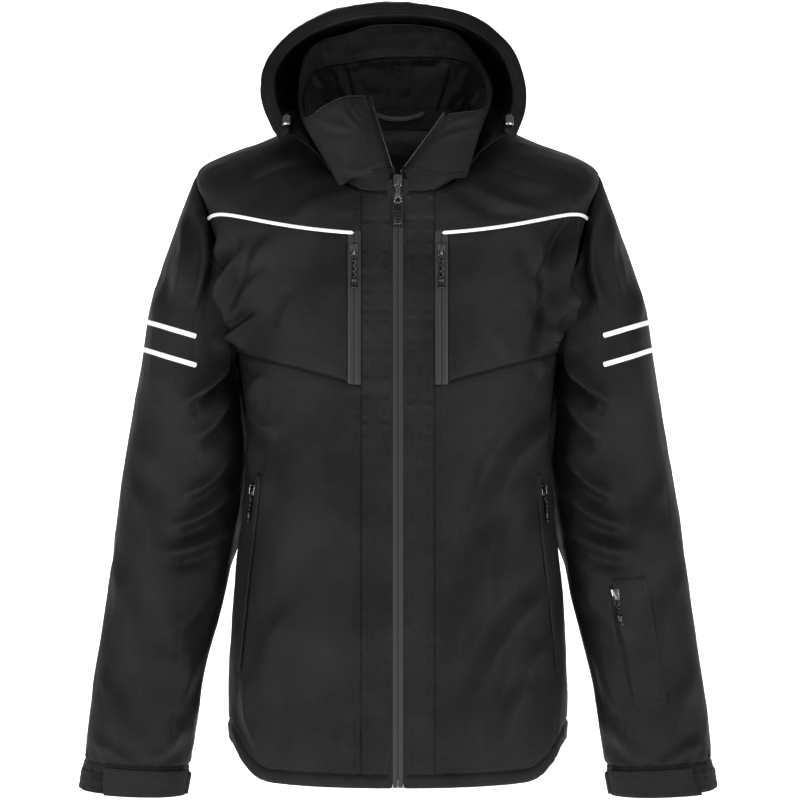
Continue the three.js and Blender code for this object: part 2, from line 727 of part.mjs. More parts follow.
// Cord locks on the hood's front corners: a barrel with a spring button in its top.
const LOCK = { radius: 5.2, height: 12, bore: 3.6, button: 3.1, stand: 3.2 };
function lockBarrel() {
  const outline = [
    [0, 0],
    [LOCK.radius - 1, 0],
    [LOCK.radius, 1.5],
    [LOCK.radius, LOCK.height - 1],
    [LOCK.radius - 0.8, LOCK.height],
    [LOCK.bore, LOCK.height],
    [LOCK.bore, 4],
    [0, 4],
  ].map(([r, h]) => new THREE.Vector2(r, h));
  return new THREE.LatheGeometry(outline, 14).rotateX(Math.PI / 2);
}
function lockButton() {
  const outline = [
    [0, 4 + LOCK.stand],
    [LOCK.button, 4 + LOCK.stand],
    [LOCK.button, LOCK.height + LOCK.stand - 0.8],
    [LOCK.button - 0.8, LOCK.height + LOCK.stand],
    [0, LOCK.height + LOCK.stand],
  ].map(([r, h]) => new THREE.Vector2(r, h));
  return new THREE.LatheGeometry(outline, 12).rotateX(Math.PI / 2);
}
for (const [side, sign] of [["left", 1], ["right", -1]]) {
  const lock = new THREE.Group();
  lock.position.set(sign * (NECK_HALF + 38), -72, -22);
  lock.rotation.set(-20 * DEG, 0, sign * -70 * DEG);
  hoodGroup.add(lock);
  add(lock, "hood_lock_" + side, lockBarrel(), HARD_BLACK);
  add(lock, "hood_lock_button_" + side, lockButton(), MOULDED);
}

// ---- sleeves ------------------------------------------------------------------------------------
// Rings from the armhole down: centre x, y, z, half width, half depth, tilt of the ring in degrees.
const SHOULDER_TOP = -64;
const ELBOW_HEIGHT = -450;
const CUFF_END = SHOULDER_TOP - SLEEVE_LENGTH;
const CUFF_TOP = CUFF_END + CUFF_HEIGHT + 4;
const SLEEVE_RINGS = [
  [214, 6, -156, 50, 88, 10],
  [238, 8, -232, 47, 84, 12],
  [243, 10, -300, 53, 80, 8],
  [244.5, 10, -372, 64, 74, 7],
  [253, 6, ELBOW_HEIGHT, 68, 68, 8],
  [265, -2, lerp(ELBOW_HEIGHT, CUFF_TOP, 0.3), 66, 60, 10],
  [282, -12, lerp(ELBOW_HEIGHT, CUFF_TOP, 0.63), 62, 52, 10],
  [298, -19, CUFF_TOP, 60.5, 45, 4],
  [303, -22, CUFF_END, 60, 42, 3],
];
// The armhole seam round the wearer's left arm, from its front, over the top, and down the back.
const ARMHOLE = [
  [220, -80, -160],
  [228, -65, -114],
  [232, -35, -80],
  [233, 4, -65],
  [232, 42, -82],
  [227, 74, -118],
  [218, 87, -166],
  [209, 72, -222],
  [202, 38, -258],
  [200, 4, -266],
  [203, -32, -258],
  [211, -66, -216],
];
const S = { elbow: 4.0, cuff: 7.0, end: SLEEVE_RINGS.length - 1 };

function sleeveRing(angle, s) {
  const [cx, cy, cz, half, deep, tilt] = [0, 1, 2, 3, 4, 5].map((k) =>
    through(SLEEVE_RINGS.map((r) => r[k]), s),
  );
  const across = half * power(Math.sin(angle), 0.92);
  return vec(
    cx + across * Math.cos(tilt * DEG),
    cy - deep * power(Math.cos(angle), 0.92),
    cz + across * Math.sin(tilt * DEG),
  );
}
// angle 0 is the front of the sleeve, 90 degrees its outside; s runs from the armhole to the cuff.
function sleeve(angle, s) {
  const turn = ((angle / (2 * Math.PI)) % 1 + 1) % 1;
  const closed = [ARMHOLE[ARMHOLE.length - 1], ...ARMHOLE, ARMHOLE[0], ARMHOLE[1]];
  const at = 1 + turn * ARMHOLE.length;
  const seam = vec(...[0, 1, 2].map((k) => through(closed.map((p) => p[k]), at)));
  const ring = sleeveRing(angle, Math.max(s, 0));
  return seam.lerp(ring, smooth(-0.35, 1.15, s) ** 0.8);
}
const ARMHOLE_S = -0.33; // where the sleeve's cloth begins, just outside the seam
const ELBOW_GAP = 0.014;
const sleevePart = (from, to, around, steps, depthOut, depthIn) =>
  tubeWall(around, steps, (angle, share, outer) =>
    skin(sleeve, angle, lerp(to, from, share), outer ? depthOut : depthIn, [2e-3, -2e-3]),
  );
const upperSleeve = sleevePart(ARMHOLE_S + 0.02, S.elbow - ELBOW_GAP, 20, 7, 0, PADDING);
const foreSleeve = sleevePart(S.elbow + ELBOW_GAP, S.cuff - 0.02, 20, 4, 0, PADDING);
const cuffBand = sleevePart(S.cuff + 0.02, S.end, 20, 1, 0.6, PADDING + 1);

// A band on the outside of the sleeve between two angles.
function sleeveBand(nu, nv, from, to, low, high, depthOut, depthIn) {
  return slab(nu, nv, (u, share, outer) =>
    skin(
      sleeve,
      lerp(from, to, u),
      lerp(low(u), high(u), share),
      outer ? depthOut : depthIn,
      [2e-3, -2e-3],
    ),
  );
}
const STRIPE_CLEAR = 0.9; // over the faceted cloth
const stripe = (s0) =>
  sleeveBand(
    9,
    1,
    4 * DEG,
    150 * DEG,
    (u) => s0 + STRIPE_WIDTH / 72 - 0.26 * smooth(0, 0.65, u),
    (u) => s0 - 0.26 * smooth(0, 0.65, u),
    -STRIPE_CLEAR - STRIPE_THICK,
    -STRIPE_CLEAR,
  );

const TAB_START = { left: -72 * DEG, right: -72 * DEG };
const TAB_END = { left: 4 * DEG, right: 34 * DEG };
const tabLow = S.cuff + 0.06;
const tabHigh = S.cuff + 0.06 + TAB_HEIGHT / (CUFF_HEIGHT + 6);

for (const [side, sign] of [["left", 1], ["right", -1]]) {
  const turn = sign > 0 ? (g) => g : mirrored;
  add(jacket, "sleeve_upper_" + side, turn(upperSleeve), SHELL_CLOTH);
  if (side === "right") add(jacket, "sleeve_fore_right", turn(foreSleeve), SHELL_CLOTH);
  add(jacket, "cuff_" + side, turn(cuffBand), SHELL_CLOTH);
  add(jacket, "stripe_upper_" + side, turn(stripe(1.28)), WHITE_TAPE);
  add(jacket, "stripe_lower_" + side, turn(stripe(1.7)), WHITE_TAPE);
  const patchFrom = TAB_START[side] + 6 * DEG;
  const patchTo = TAB_END[side] + 62 * DEG;
  const patch = sleeveBand(
    7,
    1,
    patchFrom,
    patchTo,
    () => tabHigh - 0.04,
    () => tabLow + 0.06,
    -PATCH_THICK - 1.6,
    -1.6,
  );
  add(jacket, "cuff_loop_patch_" + side, turn(patch), FLEECE);
  const tab = sleeveBand(
    6,
    1,
    TAB_START[side],
    TAB_END[side],
    (u) => tabHigh + 0.07 * u,
    (u) => tabLow + 0.07 * u,
    -PATCH_THICK - 2.9 - TAB_THICK,
    -PATCH_THICK - 2.9,
  );
  add(jacket, "cuff_tab_" + side, turn(tab), SHELL_CLOTH);
}

// Pass pocket on the front of the wearer's left forearm, its zip half under a welt.
const PASS_ANGLE = -17 * DEG;
const passTop = skin(sleeve, PASS_ANGLE, 4.95, sunk - 0.8, [2e-3, -2e-3]);
const passBottom = skin(sleeve, PASS_ANGLE, 6.13, sunk - 0.8, [2e-3, -2e-3]);
const PASS_ZIP_LENGTH = passTop.distanceTo(passBottom);
const passNormal = skin(sleeve, PASS_ANGLE, 5.5, -1, [2e-3, -2e-3])
  .sub(skin(sleeve, PASS_ANGLE, 5.5, 0, [2e-3, -2e-3]))
  .normalize();
const passFrame = zipFrame(passTop, passBottom, passNormal);
pocketZip(passFrame, "pass", PASS_ZIP_LENGTH, "left", "pass_slider", 30);
add(jacket, "sleeve_fore_left", cut(foreSleeve, slotFor(passFrame, PASS_ZIP_LENGTH)), SHELL_CLOTH);
add(
  passFrame,
  "pass_pocket_welt",
  block(POCKET_ZIP.half + 1, POCKET_ZIP.half + 13, -3.2, -1.4, -PASS_ZIP_LENGTH - 6, 8),
  SHELL_CLOTH,
);

// ---- the part's own frame -----------------------------------------------------------------------
const HANG_POINT = vec(0, loopEnd - LOOP_REACH, 0);
jacket.position.copy(HANG_POINT).negate();
const part = new THREE.Group();
part.add(jacket);
export default part;
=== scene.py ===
"""A men's insulated ski jacket, front zip closed to the throat, hood up and empty, sleeves down."""
import json
import math

import bpy
import numpy as np
from mathutils import Matrix, Vector


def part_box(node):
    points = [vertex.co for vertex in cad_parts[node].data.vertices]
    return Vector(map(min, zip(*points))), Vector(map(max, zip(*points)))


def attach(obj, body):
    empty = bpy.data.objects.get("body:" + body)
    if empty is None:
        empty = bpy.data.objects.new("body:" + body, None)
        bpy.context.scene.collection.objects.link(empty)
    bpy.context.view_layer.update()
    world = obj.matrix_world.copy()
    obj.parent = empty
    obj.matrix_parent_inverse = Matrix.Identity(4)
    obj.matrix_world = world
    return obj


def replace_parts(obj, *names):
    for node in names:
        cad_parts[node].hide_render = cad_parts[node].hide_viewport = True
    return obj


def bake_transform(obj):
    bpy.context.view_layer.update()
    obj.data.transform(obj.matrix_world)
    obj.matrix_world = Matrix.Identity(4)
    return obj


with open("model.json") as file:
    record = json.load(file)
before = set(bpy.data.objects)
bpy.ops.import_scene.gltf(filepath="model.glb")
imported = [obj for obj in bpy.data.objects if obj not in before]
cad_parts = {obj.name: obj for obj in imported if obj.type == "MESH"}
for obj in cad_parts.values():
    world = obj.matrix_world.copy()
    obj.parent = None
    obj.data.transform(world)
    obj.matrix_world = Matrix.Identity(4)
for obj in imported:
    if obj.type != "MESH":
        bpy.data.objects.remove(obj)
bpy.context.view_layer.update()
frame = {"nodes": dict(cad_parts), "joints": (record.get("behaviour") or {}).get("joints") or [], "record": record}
bpy.ops.object.select_all(action="DESELECT")

MM = 0.001
RAD = math.pi / 180
TURN = 2 * math.pi
# The garment's own middle lies this far behind the hanger loop, where the frame has its origin.
LOOP_OFF = 37.9
SIDES = (1, "left"), (-1, "right")
NECK_HALF = 86
NECK_BACK = 62
BACK_LENGTH = -1000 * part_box("hem_band")[0][2]
SHOULDER = 227
CHEST = 187


# ---- numbers along curves ---------------------------------------------------------------------
def mix(a, b, t):
    return a + (b - a) * t


def ramp(a, b, t):
    """A smooth step from 0 at a to 1 at b."""
    s = np.clip((t - a) / (b - a), 0, 1)
    return s * s * (3 - 2 * s)


def signed_power(value, exponent):
    return np.sign(value) * np.abs(value) ** exponent


def through(table, t):
    """Catmull-Rom values of a table's rows at t, from 0 to its last row."""
    table = np.asarray(table, float)
    t = np.asarray(t, float)
    last = len(table) - 1
    i = np.clip(np.floor(t).astype(int), 0, last - 1)
    f = (t - i)[..., None]
    a, b, c, d = (table[np.clip(i + k, 0, last)] for k in (-1, 0, 1, 2))
    return b + 0.5 * f * (c - a + f * (2 * a - 5 * b + 4 * c - d + f * (3 * (b - c) + d - a)))


def part_way(table, share):
    """Values of a table's rows at a share of its length."""
    return through(table, share * (len(table) - 1))


def unit(v):
    return v / np.maximum(np.linalg.norm(v, axis=-1, keepdims=True), 1e-9)


def stack(x, y, z):
    return np.stack(np.broadcast_arrays(x, y, z), axis=-1).astype(float)


def lattice(i, j, k, seed):
    """A fixed value from -1 to 1 for each corner of a grid."""
    n = (i * 374761393 + j * 668265263 + k * 2147483647 + seed * 974634777) & 0xFFFFFFFF
    n = ((n ^ (n >> 13)) * 1274126177) & 0xFFFFFFFF
    return ((n ^ (n >> 16)) & 0xFFFF) / 32767.5 - 1


def noise(p, size, seed=0):
    """Smooth noise from -1 to 1 whose lumps are about size across; size may differ by axis."""
    q = p / np.asarray(size, float)
    cell = np.floor(q).astype(np.int64)
    f = q - cell
    f = f * f * f * (f * (f * 6 - 15) + 10)
    total = 0
    for corner in np.ndindex(2, 2, 2):
        weight = 1
        for axis, step in enumerate(corner):
            weight = weight * (f[..., axis] if step else 1 - f[..., axis])
        total = total + weight * lattice(*(cell[..., k] + corner[k] for k in range(3)), seed)
    return total


# ---- the body's surface -----------------------------------------------------------------------
HEM_FRONT = 150
FRONT_LEAN = 32 / 648
# Rings from hem to neck: half width, back depth, height at front, side and back, squareness.
RINGS = [
    (CHEST + 3, 140, -BACK_LENGTH, -BACK_LENGTH, -BACK_LENGTH, 2.4),
    (CHEST + 8, 142, -660, -660, -660, 2.4),
    (CHEST + 2, 134, -560, -560, -560, 2.4),
    (CHEST - 13, 121, -400, -400, -400, 2.4),
    (CHEST - 9, 128, -315, -312, -315, 2.5),
    (CHEST, 133, -264, -262, -262, 2.7),
    (mix(CHEST, SHOULDER, 0.4), 136, -205, -196, -200, 3),
    (SHOULDER - 5, 130, -149, -114, -125, 3.1),
    (SHOULDER, 112, -127, -64, -78, 2.7),
    (NECK_HALF + 64, 86, -113, -28, -32, 2.4),
    (NECK_HALF, NECK_BACK, -100, 2, 0, 2.6),
]
CHEST_SEAM, ARMPIT, PIPING, SHOULDER_SEAM, NECK = 4, 5, 7, 8, 10


def front_depth(z):
    return HEM_FRONT - FRONT_LEAN * (z + BACK_LENGTH)


def body(theta, v):
    """A point of the body; theta is 0 in front and 90 degrees on the left, v counts rings."""
    ring = through(RINGS, v)
    half, back, z_front, z_side, z_back, square = (ring[..., k] for k in range(6))
    towards, e = np.cos(theta), 2 / square
    flat = np.where(towards > 0, mix(1.6, 0.6, ramp(8.3, NECK, v)), 1.6)
    z = mix(z_side, np.where(towards > 0, z_front, z_back), np.abs(towards) ** flat)
    depth = np.where(towards > 0, front_depth(z_front), back)
    return stack(half * signed_power(np.sin(theta), e), -depth * signed_power(towards, e), z)


def angle_at(x, v):
    """The theta at which the body is x wide, beside the centre front."""
    ring = through(RINGS, v)
    return np.arcsin(np.clip(x / ring[..., 0], 0, 1) ** (ring[..., 5] / 2))


# The armhole is one oval on the body, from the side seam up to the shoulder seam.
ARM_MIDDLE, ARM_SPREAD = 92.5 * RAD, 23.5 * RAD
ARM_V, ARM_RISE = 6.5, 1.5


def armhole_reach(v):
    return ARM_SPREAD * np.sqrt(np.clip(1 - ((v - ARM_V) / ARM_RISE) ** 2, 0, 1))


def armhole_point(angle):
    """A point of the armhole; the angle is the sleeve's, 0 in front."""
    phi = math.pi - angle
    return body(ARM_MIDDLE + ARM_SPREAD * np.cos(phi), ARM_V + ARM_RISE * np.sin(phi))


# ---- the sleeve's surface, the wearer's left one ------------------------------------------------
SHOULDER_TOP, ELBOW_HEIGHT = -64, -450
CUFF_END = SHOULDER_TOP - 708
CUFF_TOP = CUFF_END + 31
# Rings down the arm: centre, half width, half depth, tilt in degrees.
SLEEVE_RINGS = [
    (214, 6, -156, 50, 88, 10),
    (238, 8, -232, 47, 84, 12),
    (243, 10, -300, 53, 80, 8),
    (244.5, 10, -372, 64, 74, 7),
    (253, 6, ELBOW_HEIGHT, 68, 68, 8),
    (265, -2, mix(ELBOW_HEIGHT, CUFF_TOP, 0.3), 66, 60, 10),
    (282, -12, mix(ELBOW_HEIGHT, CUFF_TOP, 0.63), 62, 52, 10),
    (298, -19, CUFF_TOP, 60.5, 45, 4),
    (303, -22, CUFF_END, 60, 42, 3),
]
ELBOW, CUFF, SLEEVE_END = 4, 7, 8


def sleeve_ring(angle, s):
    ring = through(SLEEVE_RINGS, s)
    cx, cy, cz, half, deep, tilt = (ring[..., k] for k in range(6))
    across = half * signed_power(np.sin(angle), 0.92)
    return stack(cx + across * np.cos(tilt * RAD),
                 cy - deep * signed_power(np.cos(angle), 0.92),
                 cz + across * np.sin(tilt * RAD))


def body_side(y, z):
    """How wide the body is at a depth and height, below the armhole."""
    heights = np.array([ring[3] for ring in RINGS])
    half = np.interp(z, heights[:8], [ring[0] for ring in RINGS[:8]])
    back = np.interp(z, heights[:8], [ring[1] for ring in RINGS[:8]])
    share = np.clip(np.abs(y) / np.where(y < 0, front_depth(z), back), 0, 0.98)
    return half * (1 - share ** 2.4) ** (1 / 2.4)


def sleeve(angle, s):
    """angle 0 is the sleeve's front, 90 degrees its outside; s runs from armhole to cuff.
    Behind, down to the elbow, the sleeve's inner side leans against the body."""
    weight = (ramp(-0.35, 1.15, s) ** 0.8)[..., None]
    point = mix(armhole_point(angle), sleeve_ring(angle, np.maximum(s, 0)), weight)
    turn = (angle + math.pi) % TURN - math.pi
    lean = np.exp(-((turn + 118 * RAD) / (34 * RAD)) ** 2)
    lean = lean * ramp(0.7, 1.7, s) * ramp(-5.3, -4.3, -s)
    space = 3.5 + 6 * ramp(3.8, 4.6, s)
    against = np.minimum(point[..., 0], body_side(point[..., 1], point[..., 2]) + space)
    x = mix(point[..., 0], against, np.clip(1.15 * lean, 0, 1))
    return stack(x, point[..., 1], point[..., 2])


# The long seam down the front of the sleeve: its angle in degrees against s.
SEAM_S, SEAM_ANGLE = (-0.3, 1.7, 4.85, 7), (-12, -15.6, -16.7, -41)


def sleeve_seam_distance(angle, s):
    """Distance from the long front seam, in mm."""
    seam = np.interp(s, SEAM_S, SEAM_ANGLE) * RAD
    turn = (angle - seam + math.pi) % TURN - math.pi
    ring = through(SLEEVE_RINGS, np.maximum(s, 0))
    return turn * np.sqrt(ring[..., 3] * ring[..., 4])


# ---- collar and hood --------------------------------------------------------------------------
# The collar's top edge, from the wearer's right front round the back to the left front.
COLLAR_RIM = [
    (-36, -124, 5), (-58, -119, 5), (-80, -110, -3), (-102, -92, -15), (-112, -50, -4),
    (-115, -4, 36), (-109, 34, 75), (-92, 60, 95), (-63, 80, 106), (-33, 90, 117), (0, 92, 119),
    (32, 90, 117), (70, 78, 106), (94, 52, 77), (109, 6, 38), (106, -42, 10), (95, -86, -5),
    (77, -107, -10), (57, -118, -14),
]
# The fold above the neck seam over which the front flaps hang, for the rim's first and last points.
COLLAR_FOLD_RIGHT = [(-9.5, -125, -79), (-30, -125, -82), (-50, -119, -85), (-68, -108, -88)]
COLLAR_FOLD_LEFT = [(75, -105, -83), (48, -120, -82), (9.5, -125, -78)]
ZIP_HALF = 8.5
FOLD = 0.13  # where the fold lies between neck seam and rim


def neck_seam(t):
    """The collar's sewn lower edge; t runs as the rim does, right front to left front."""
    edge = angle_at(ZIP_HALF, np.float64(NECK))
    return body(mix(-edge, -TURN + edge, t), np.full(np.shape(t), float(NECK))) + (0, 0, 1.5)


def collar_fold():
    """The fold's line, close over the neck seam behind and lower at the front flaps."""
    count = len(COLLAR_RIM)
    line = neck_seam(np.linspace(0, 1, count))
    away = unit(line * (1, 1, 0) + (0, 10, 0))
    line = line + away * 2.5 + (0, 0, 10)
    line[:4], line[-3:] = COLLAR_FOLD_RIGHT, COLLAR_FOLD_LEFT
    return line


COLLAR_FOLD = collar_fold()


def collar(t, s):
    """The stand collar from the neck seam up over the fold to the rim, as s goes 0 to 1."""
    base = neck_seam(t)
    fold = part_way(COLLAR_FOLD, t)
    rim = part_way(COLLAR_RIM, t)
    low = np.clip(s / FOLD, 0, 1)[..., None]
    high = np.clip((s - FOLD) / (1 - FOLD), 0, 1)
    side = ramp(0.12, 0.3, t) * ramp(0.12, 0.3, 1 - t)
    under = fold - unit(fold * (1, 1, 0)) * (9 * (1 - side))[..., None] + (0, 0, 3)
    below = np.where(low < 0.75, mix(base, under, low / 0.75), mix(under, fold, 4 * low - 3))
    point = np.where(s[..., None] < FOLD, below, mix(fold, rim, high[..., None]))
    out = unit(stack(point[..., 0], point[..., 1] + 10, 0))
    swell = np.sin(math.pi * high) * (1.5 + 5.5 * side)
    return point + out * swell[..., None]


HOOD_RIM = [
    (-132, -64, -36), (-149, -48, 0), (-154, -22, 42), (-138, 4, 80), (-106, 20, 108),
    (-58, 30, 127), (0, 34, 133), (56, 30, 127), (98, 20, 108), (128, 4, 80), (142, -20, 42),
    (143, -46, 2), (130, -64, -34),
]
HOOD_NECK = [
    (-129, -54, -28), (-126, -28, -10), (-122, 8, 2), (-110, 44, 4), (-86, 70, 8), (-46, 84, 12),
    (0, 88, 13), (46, 84, 12), (86, 70, 8), (110, 44, 4), (122, 8, 2), (126, -28, -10),
    (129, -54, -28),
]
HOOD_DEPTH = 104


def hood(t, s):
    """The empty hood: t runs along the rim, s from the rim over the top to the neck."""
    rim = part_way(HOOD_RIM, t)
    neck = part_way(HOOD_NECK, t)
    middle = np.sin(math.pi * np.clip(t, 0, 1))
    reach = HOOD_DEPTH * middle ** 1.3
    first = rim + stack(rim[..., 0] * 0.05 * middle, reach * 1.05, 30 * middle)
    second = neck + stack(neck[..., 0] * 0.22 * middle, reach * 0.85, 42 * middle)
    s = s[..., None]
    return ((1 - s) ** 3 * rim + 3 * (1 - s) ** 2 * s * first
            + 3 * (1 - s) * s ** 2 * second + s ** 3 * neck)


def hood_base(t, s):
    """The band sewn round the neck outside the collar, which carries the hood's lower edge."""
    theta = mix(-43 * RAD, -TURN + 43 * RAD, t)
    full = np.full(np.shape(t), NECK - 0.16)
    inner = body(theta, full) + normal_of(body, theta, full) * 5
    edge = part_way(HOOD_NECK, t) * (0.965, 0.965, 1) + (0, 0, 1.5)
    return mix(inner, edge, s[..., None]) + stack(0, 0, 3 + 6.5 * np.sin(math.pi * s) - 3 * s)


def normal_of(surface, u, v, flip=False):
    """The way a surface faces."""
    h = 2e-3
    n = unit(np.cross(surface(u + h, v) - surface(u - h, v), surface(u, v + h) - surface(u, v - h)))
    return -n if flip else n


# ---- how the cloth hangs ------------------------------------------------------------------------
# Folds of the front, drawn as seen from the front in mm: from x, z to x, z, height, half width.
# Each is a soft ridge with a hollow beside it.
BODY_FOLDS = [
    (-170, -158, -186, -225, 9, 6), (-196, -150, -182, -262, 10, 5), (-150, -190, -178, -240, 4, 9),
    (-184, -170, -168, -275, 8, 6), (-158, -236, -180, -262, 5, 5), (-140, -150, -168, -205, 3, 10),
    (-166, -338, -138, -364, 4, 9), (-172, -372, -150, -430, 3, 12),
    (-150, -300, -168, -330, 3, 10), (196, -127, 184, -252, 10, 5), (184, -150, 174, -235, 8, 6),
    (160, -200, 182, -240, 4, 9), (190, -190, 168, -282, 7, 6), (176, -238, 160, -300, 4, 7),
    (150, -140, 176, -196, 3, 10), (172, -352, 104, -446, 6, 14), (142, -404, 92, -532, 5, 16),
    (168, -400, 128, -470, 4, 12), (170, -536, 92, -640, 5, 15), (174, -590, 130, -660, 3.5, 12),
    (150, -640, 118, -700, 2.5, 12), (-120, -560, -150, -640, 2.5, 18),
    (-60, -480, -80, -600, 1.6, 22), (-168, -640, -150, -715, 3, 12), (70, -560, 88, -690, 1.8, 20),
    (26, -356, 38, -362, 1.2, 3), (22, -392, 36, -398, 1, 3), (24, -424, 37, -428, 1, 3),
    (-34, -452, -22, -456, 0.8, 3), (20, -470, 34, -478, 0.8, 4), (96, -60, 170, -92, 2.5, 10),
    (70, -84, 150, -116, 2, 9), (-92, -66, -168, -96, 2.2, 12), (-60, -100, -120, -132, 1.6, 10),
    (110, -250, 122, -282, 1.6, 7), (-110, -210, -128, -250, 1.4, 9),
]
SLEEVE_FOLDS = [
    (208, -110, 203, -250, 10, 6), (222, -120, 226, -215, 7, 8), (240, -130, 246, -212, 4, 10),
    (198, -240, 220, -318, 9, 6), (202, -286, 236, -330, 6, 7), (196, -326, 226, -372, 6, 8),
    (194, -392, 238, -436, 7, 8), (194, -432, 250, -470, 7, 9), (198, -476, 258, -500, 6, 9),
    (208, -540, 262, -590, 3, 14), (300, -420, 276, -500, 3, 16), (322, -520, 300, -610, 2.5, 15),
    (232, -620, 268, -690, 3, 13), (330, -640, 316, -720, 3, 12), (246, -700, 290, -742, 3.5, 10),
    (340, -712, 300, -748, 3, 9), (262, -730, 296, -752, 2.5, 7), (284, -180, 276, -230, 2, 10),
]


def fold_heights(points, folds):
    """The height of all drawn folds, in mm."""
    x, z = points[..., 0], points[..., 2]
    total = np.zeros(x.shape)
    for x0, z0, x1, z1, height, width in folds:
        dx, dz = x1 - x0, z1 - z0
        length = math.hypot(dx, dz)
        along = ((x - x0) * dx + (z - z0) * dz) / length ** 2
        bow = 0.08 * length * np.sin(math.pi * np.clip(along, 0, 1))
        off = ((x - x0) * dz - (z - z0) * dx) / length - bow
        fade = ramp(-0.25, 0.3, along) * ramp(-0.25, 0.3, 1 - along)
        ridge = np.exp(0.45 - 1.5 * np.sqrt((off / width) ** 2 + 0.09))
        total += height * fade * (ridge - 0.8 * np.exp(-((off - 1.5 * width) / width) ** 2))
    return total


def hang(points, seed):
    """Broad soft unevenness of padded cloth, with finer creases on top, in mm."""
    bend = points + 14 * np.stack([noise(points, 90, seed + k) for k in (5, 6, 7)], axis=-1)
    broad = 1.7 * noise(bend, (70, 70, 130), seed) + 1.0 * noise(bend, (34, 34, 70), seed + 1)
    crease = noise(bend, (20, 20, 46), seed + 2)
    fine = 0.8 * (1 - 2 * np.abs(crease)) + 0.2 * noise(points, (7, 7, 12), seed + 3)
    return broad + fine


def loose(amount, seed):
    """The sway of cloth that hangs without drawn folds."""
    return lambda points, normals: amount * hang(points, seed)


def body_sway(points, normals):
    front = ramp(0.1, 0.5, -normals[..., 1])
    height = 0.6 * hang(points, 11) + 1.8 * front * fold_heights(points, BODY_FOLDS)
    return height * beside_zips(points)


def beside_zips(points):
    """Lower at the hand pocket and at the chest zip's foot, where zips keep the cloth flat."""
    x, y, z = np.abs(points[..., 0]), points[..., 1], points[..., 2]
    pocket = np.exp(-((y + 65) / 22) ** 2) * (x > 120) * ramp(-650, -610, z) * ramp(385, 420, -z)
    foot = np.exp(-((x - 48) / 15) ** 2 - ((z + 335) / 28) ** 2)
    return 1 - 0.85 * np.maximum(pocket, foot)


def make_sleeve_sway(side):
    def sway(points, normals):
        front = ramp(0.0, 0.45, -normals[..., 1])
        world = points * (side, 1, 1)
        return 0.85 * hang(world, 31 + side) + 1.9 * front * fold_heights(points, SLEEVE_FOLDS)
    return sway


def mirrored(side, amount=1.0):
    """The body's sway, for a panel modelled on the wearer's left and then set on a side."""
    return lambda points, normals: amount * body_sway(points * (side, 1, 1), normals)


# ---- meshes -----------------------------------------------------------------------------------
FILL = 0.3  # how full the padding of body and sleeves is
UNSEWN = 1e3  # distance to a seam that isn't there, in mm
STITCH_ROW = 6.5  # from a seam to the row of stitches beside it, in mm
STITCH_WIDTH = 1.2


def stitch_dent(off):
    """How far a row of stitches draws the cloth in, from 0 to 1."""
    return np.exp(-((off - STITCH_ROW) / STITCH_WIDTH) ** 2)


def spaced(length, fine, coarse, band):
    """Shares of a length, close together near both ends."""
    steps = [0.0]
    while steps[-1] < length:
        near = min(steps[-1], length - steps[-1])
        steps.append(steps[-1] + mix(fine, coarse, float(np.clip(near / band, 0, 1)) ** 1.5))
    return np.array(steps) / steps[-1]


def placed(name, data, place=(0, 0, 0)):
    made = bpy.data.objects.new(name, data)
    made.location = place
    bpy.context.scene.collection.objects.link(made)
    return made


def piece(name, points, faces, material, body_name, uv=None, edge=None, crisp=None):
    """A mesh from jacket millimetres; crisp marks the points whose shared edges stay unsmoothed."""
    mesh = bpy.data.meshes.new(name)
    mesh.from_pydata((points * MM - (0, LOOP_OFF * MM, 0)).tolist(), [], faces)
    if uv is not None:
        layer = mesh.uv_layers.new(name="cloth")
        corners = np.empty(len(mesh.loops), int)
        mesh.loops.foreach_get("vertex_index", corners)
        layer.data.foreach_set("uv", (uv[corners] * MM).ravel())
    if edge is not None:
        values = mesh.attributes.new("edge", "FLOAT", "POINT")
        values.data.foreach_set("value", edge.astype(np.float32))
    mesh.materials.append(material)
    mesh.validate()
    mesh.update()
    mesh.polygons.foreach_set("use_smooth", np.ones(len(mesh.polygons), bool))
    if crisp is not None:
        ends = np.empty(2 * len(mesh.edges), int)
        mesh.edges.foreach_get("vertices", ends)
        hard = mesh.attributes.new("sharp_edge", "BOOLEAN", "EDGE")
        hard.data.foreach_set("value", crisp[ends.reshape(-1, 2)].all(axis=1))
    made = placed(name, mesh)
    if body_name:
        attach(made, body_name)
    return made


def slab_faces(rows, cols, wrap):
    """Faces of an outer grid, an inner grid and the edges between them."""
    grid = np.arange(rows * cols).reshape(rows, cols)
    across = np.concatenate([grid, grid[:, :1]], axis=1) if wrap else grid
    a, b, c, d = across[:-1, :-1], across[:-1, 1:], across[1:, 1:], across[1:, :-1]
    outer = np.stack([a, b, c, d], axis=-1).reshape(-1, 4)
    inner = outer[:, ::-1] + rows * cols
    lines = [(across[0], 1), (across[-1], -1)]
    if not wrap:
        lines += [(grid[:, 0], -1), (grid[:, -1], 1)]
    rims = []
    for line, turn in lines:
        p, q = (line[:-1], line[1:])[::turn]
        rims.append(np.stack([q, p, p + rows * cols, q + rows * cols], axis=-1))
    return np.concatenate([outer, inner, *rims]).tolist()


def arc(points, axis):
    """Distance along a grid's rows or columns."""
    step = np.linalg.norm(np.diff(points, axis=axis), axis=-1)
    zero = np.zeros_like(np.take(step, [0], axis=axis))
    return np.concatenate([zero, np.cumsum(step, axis=axis)], axis=axis)


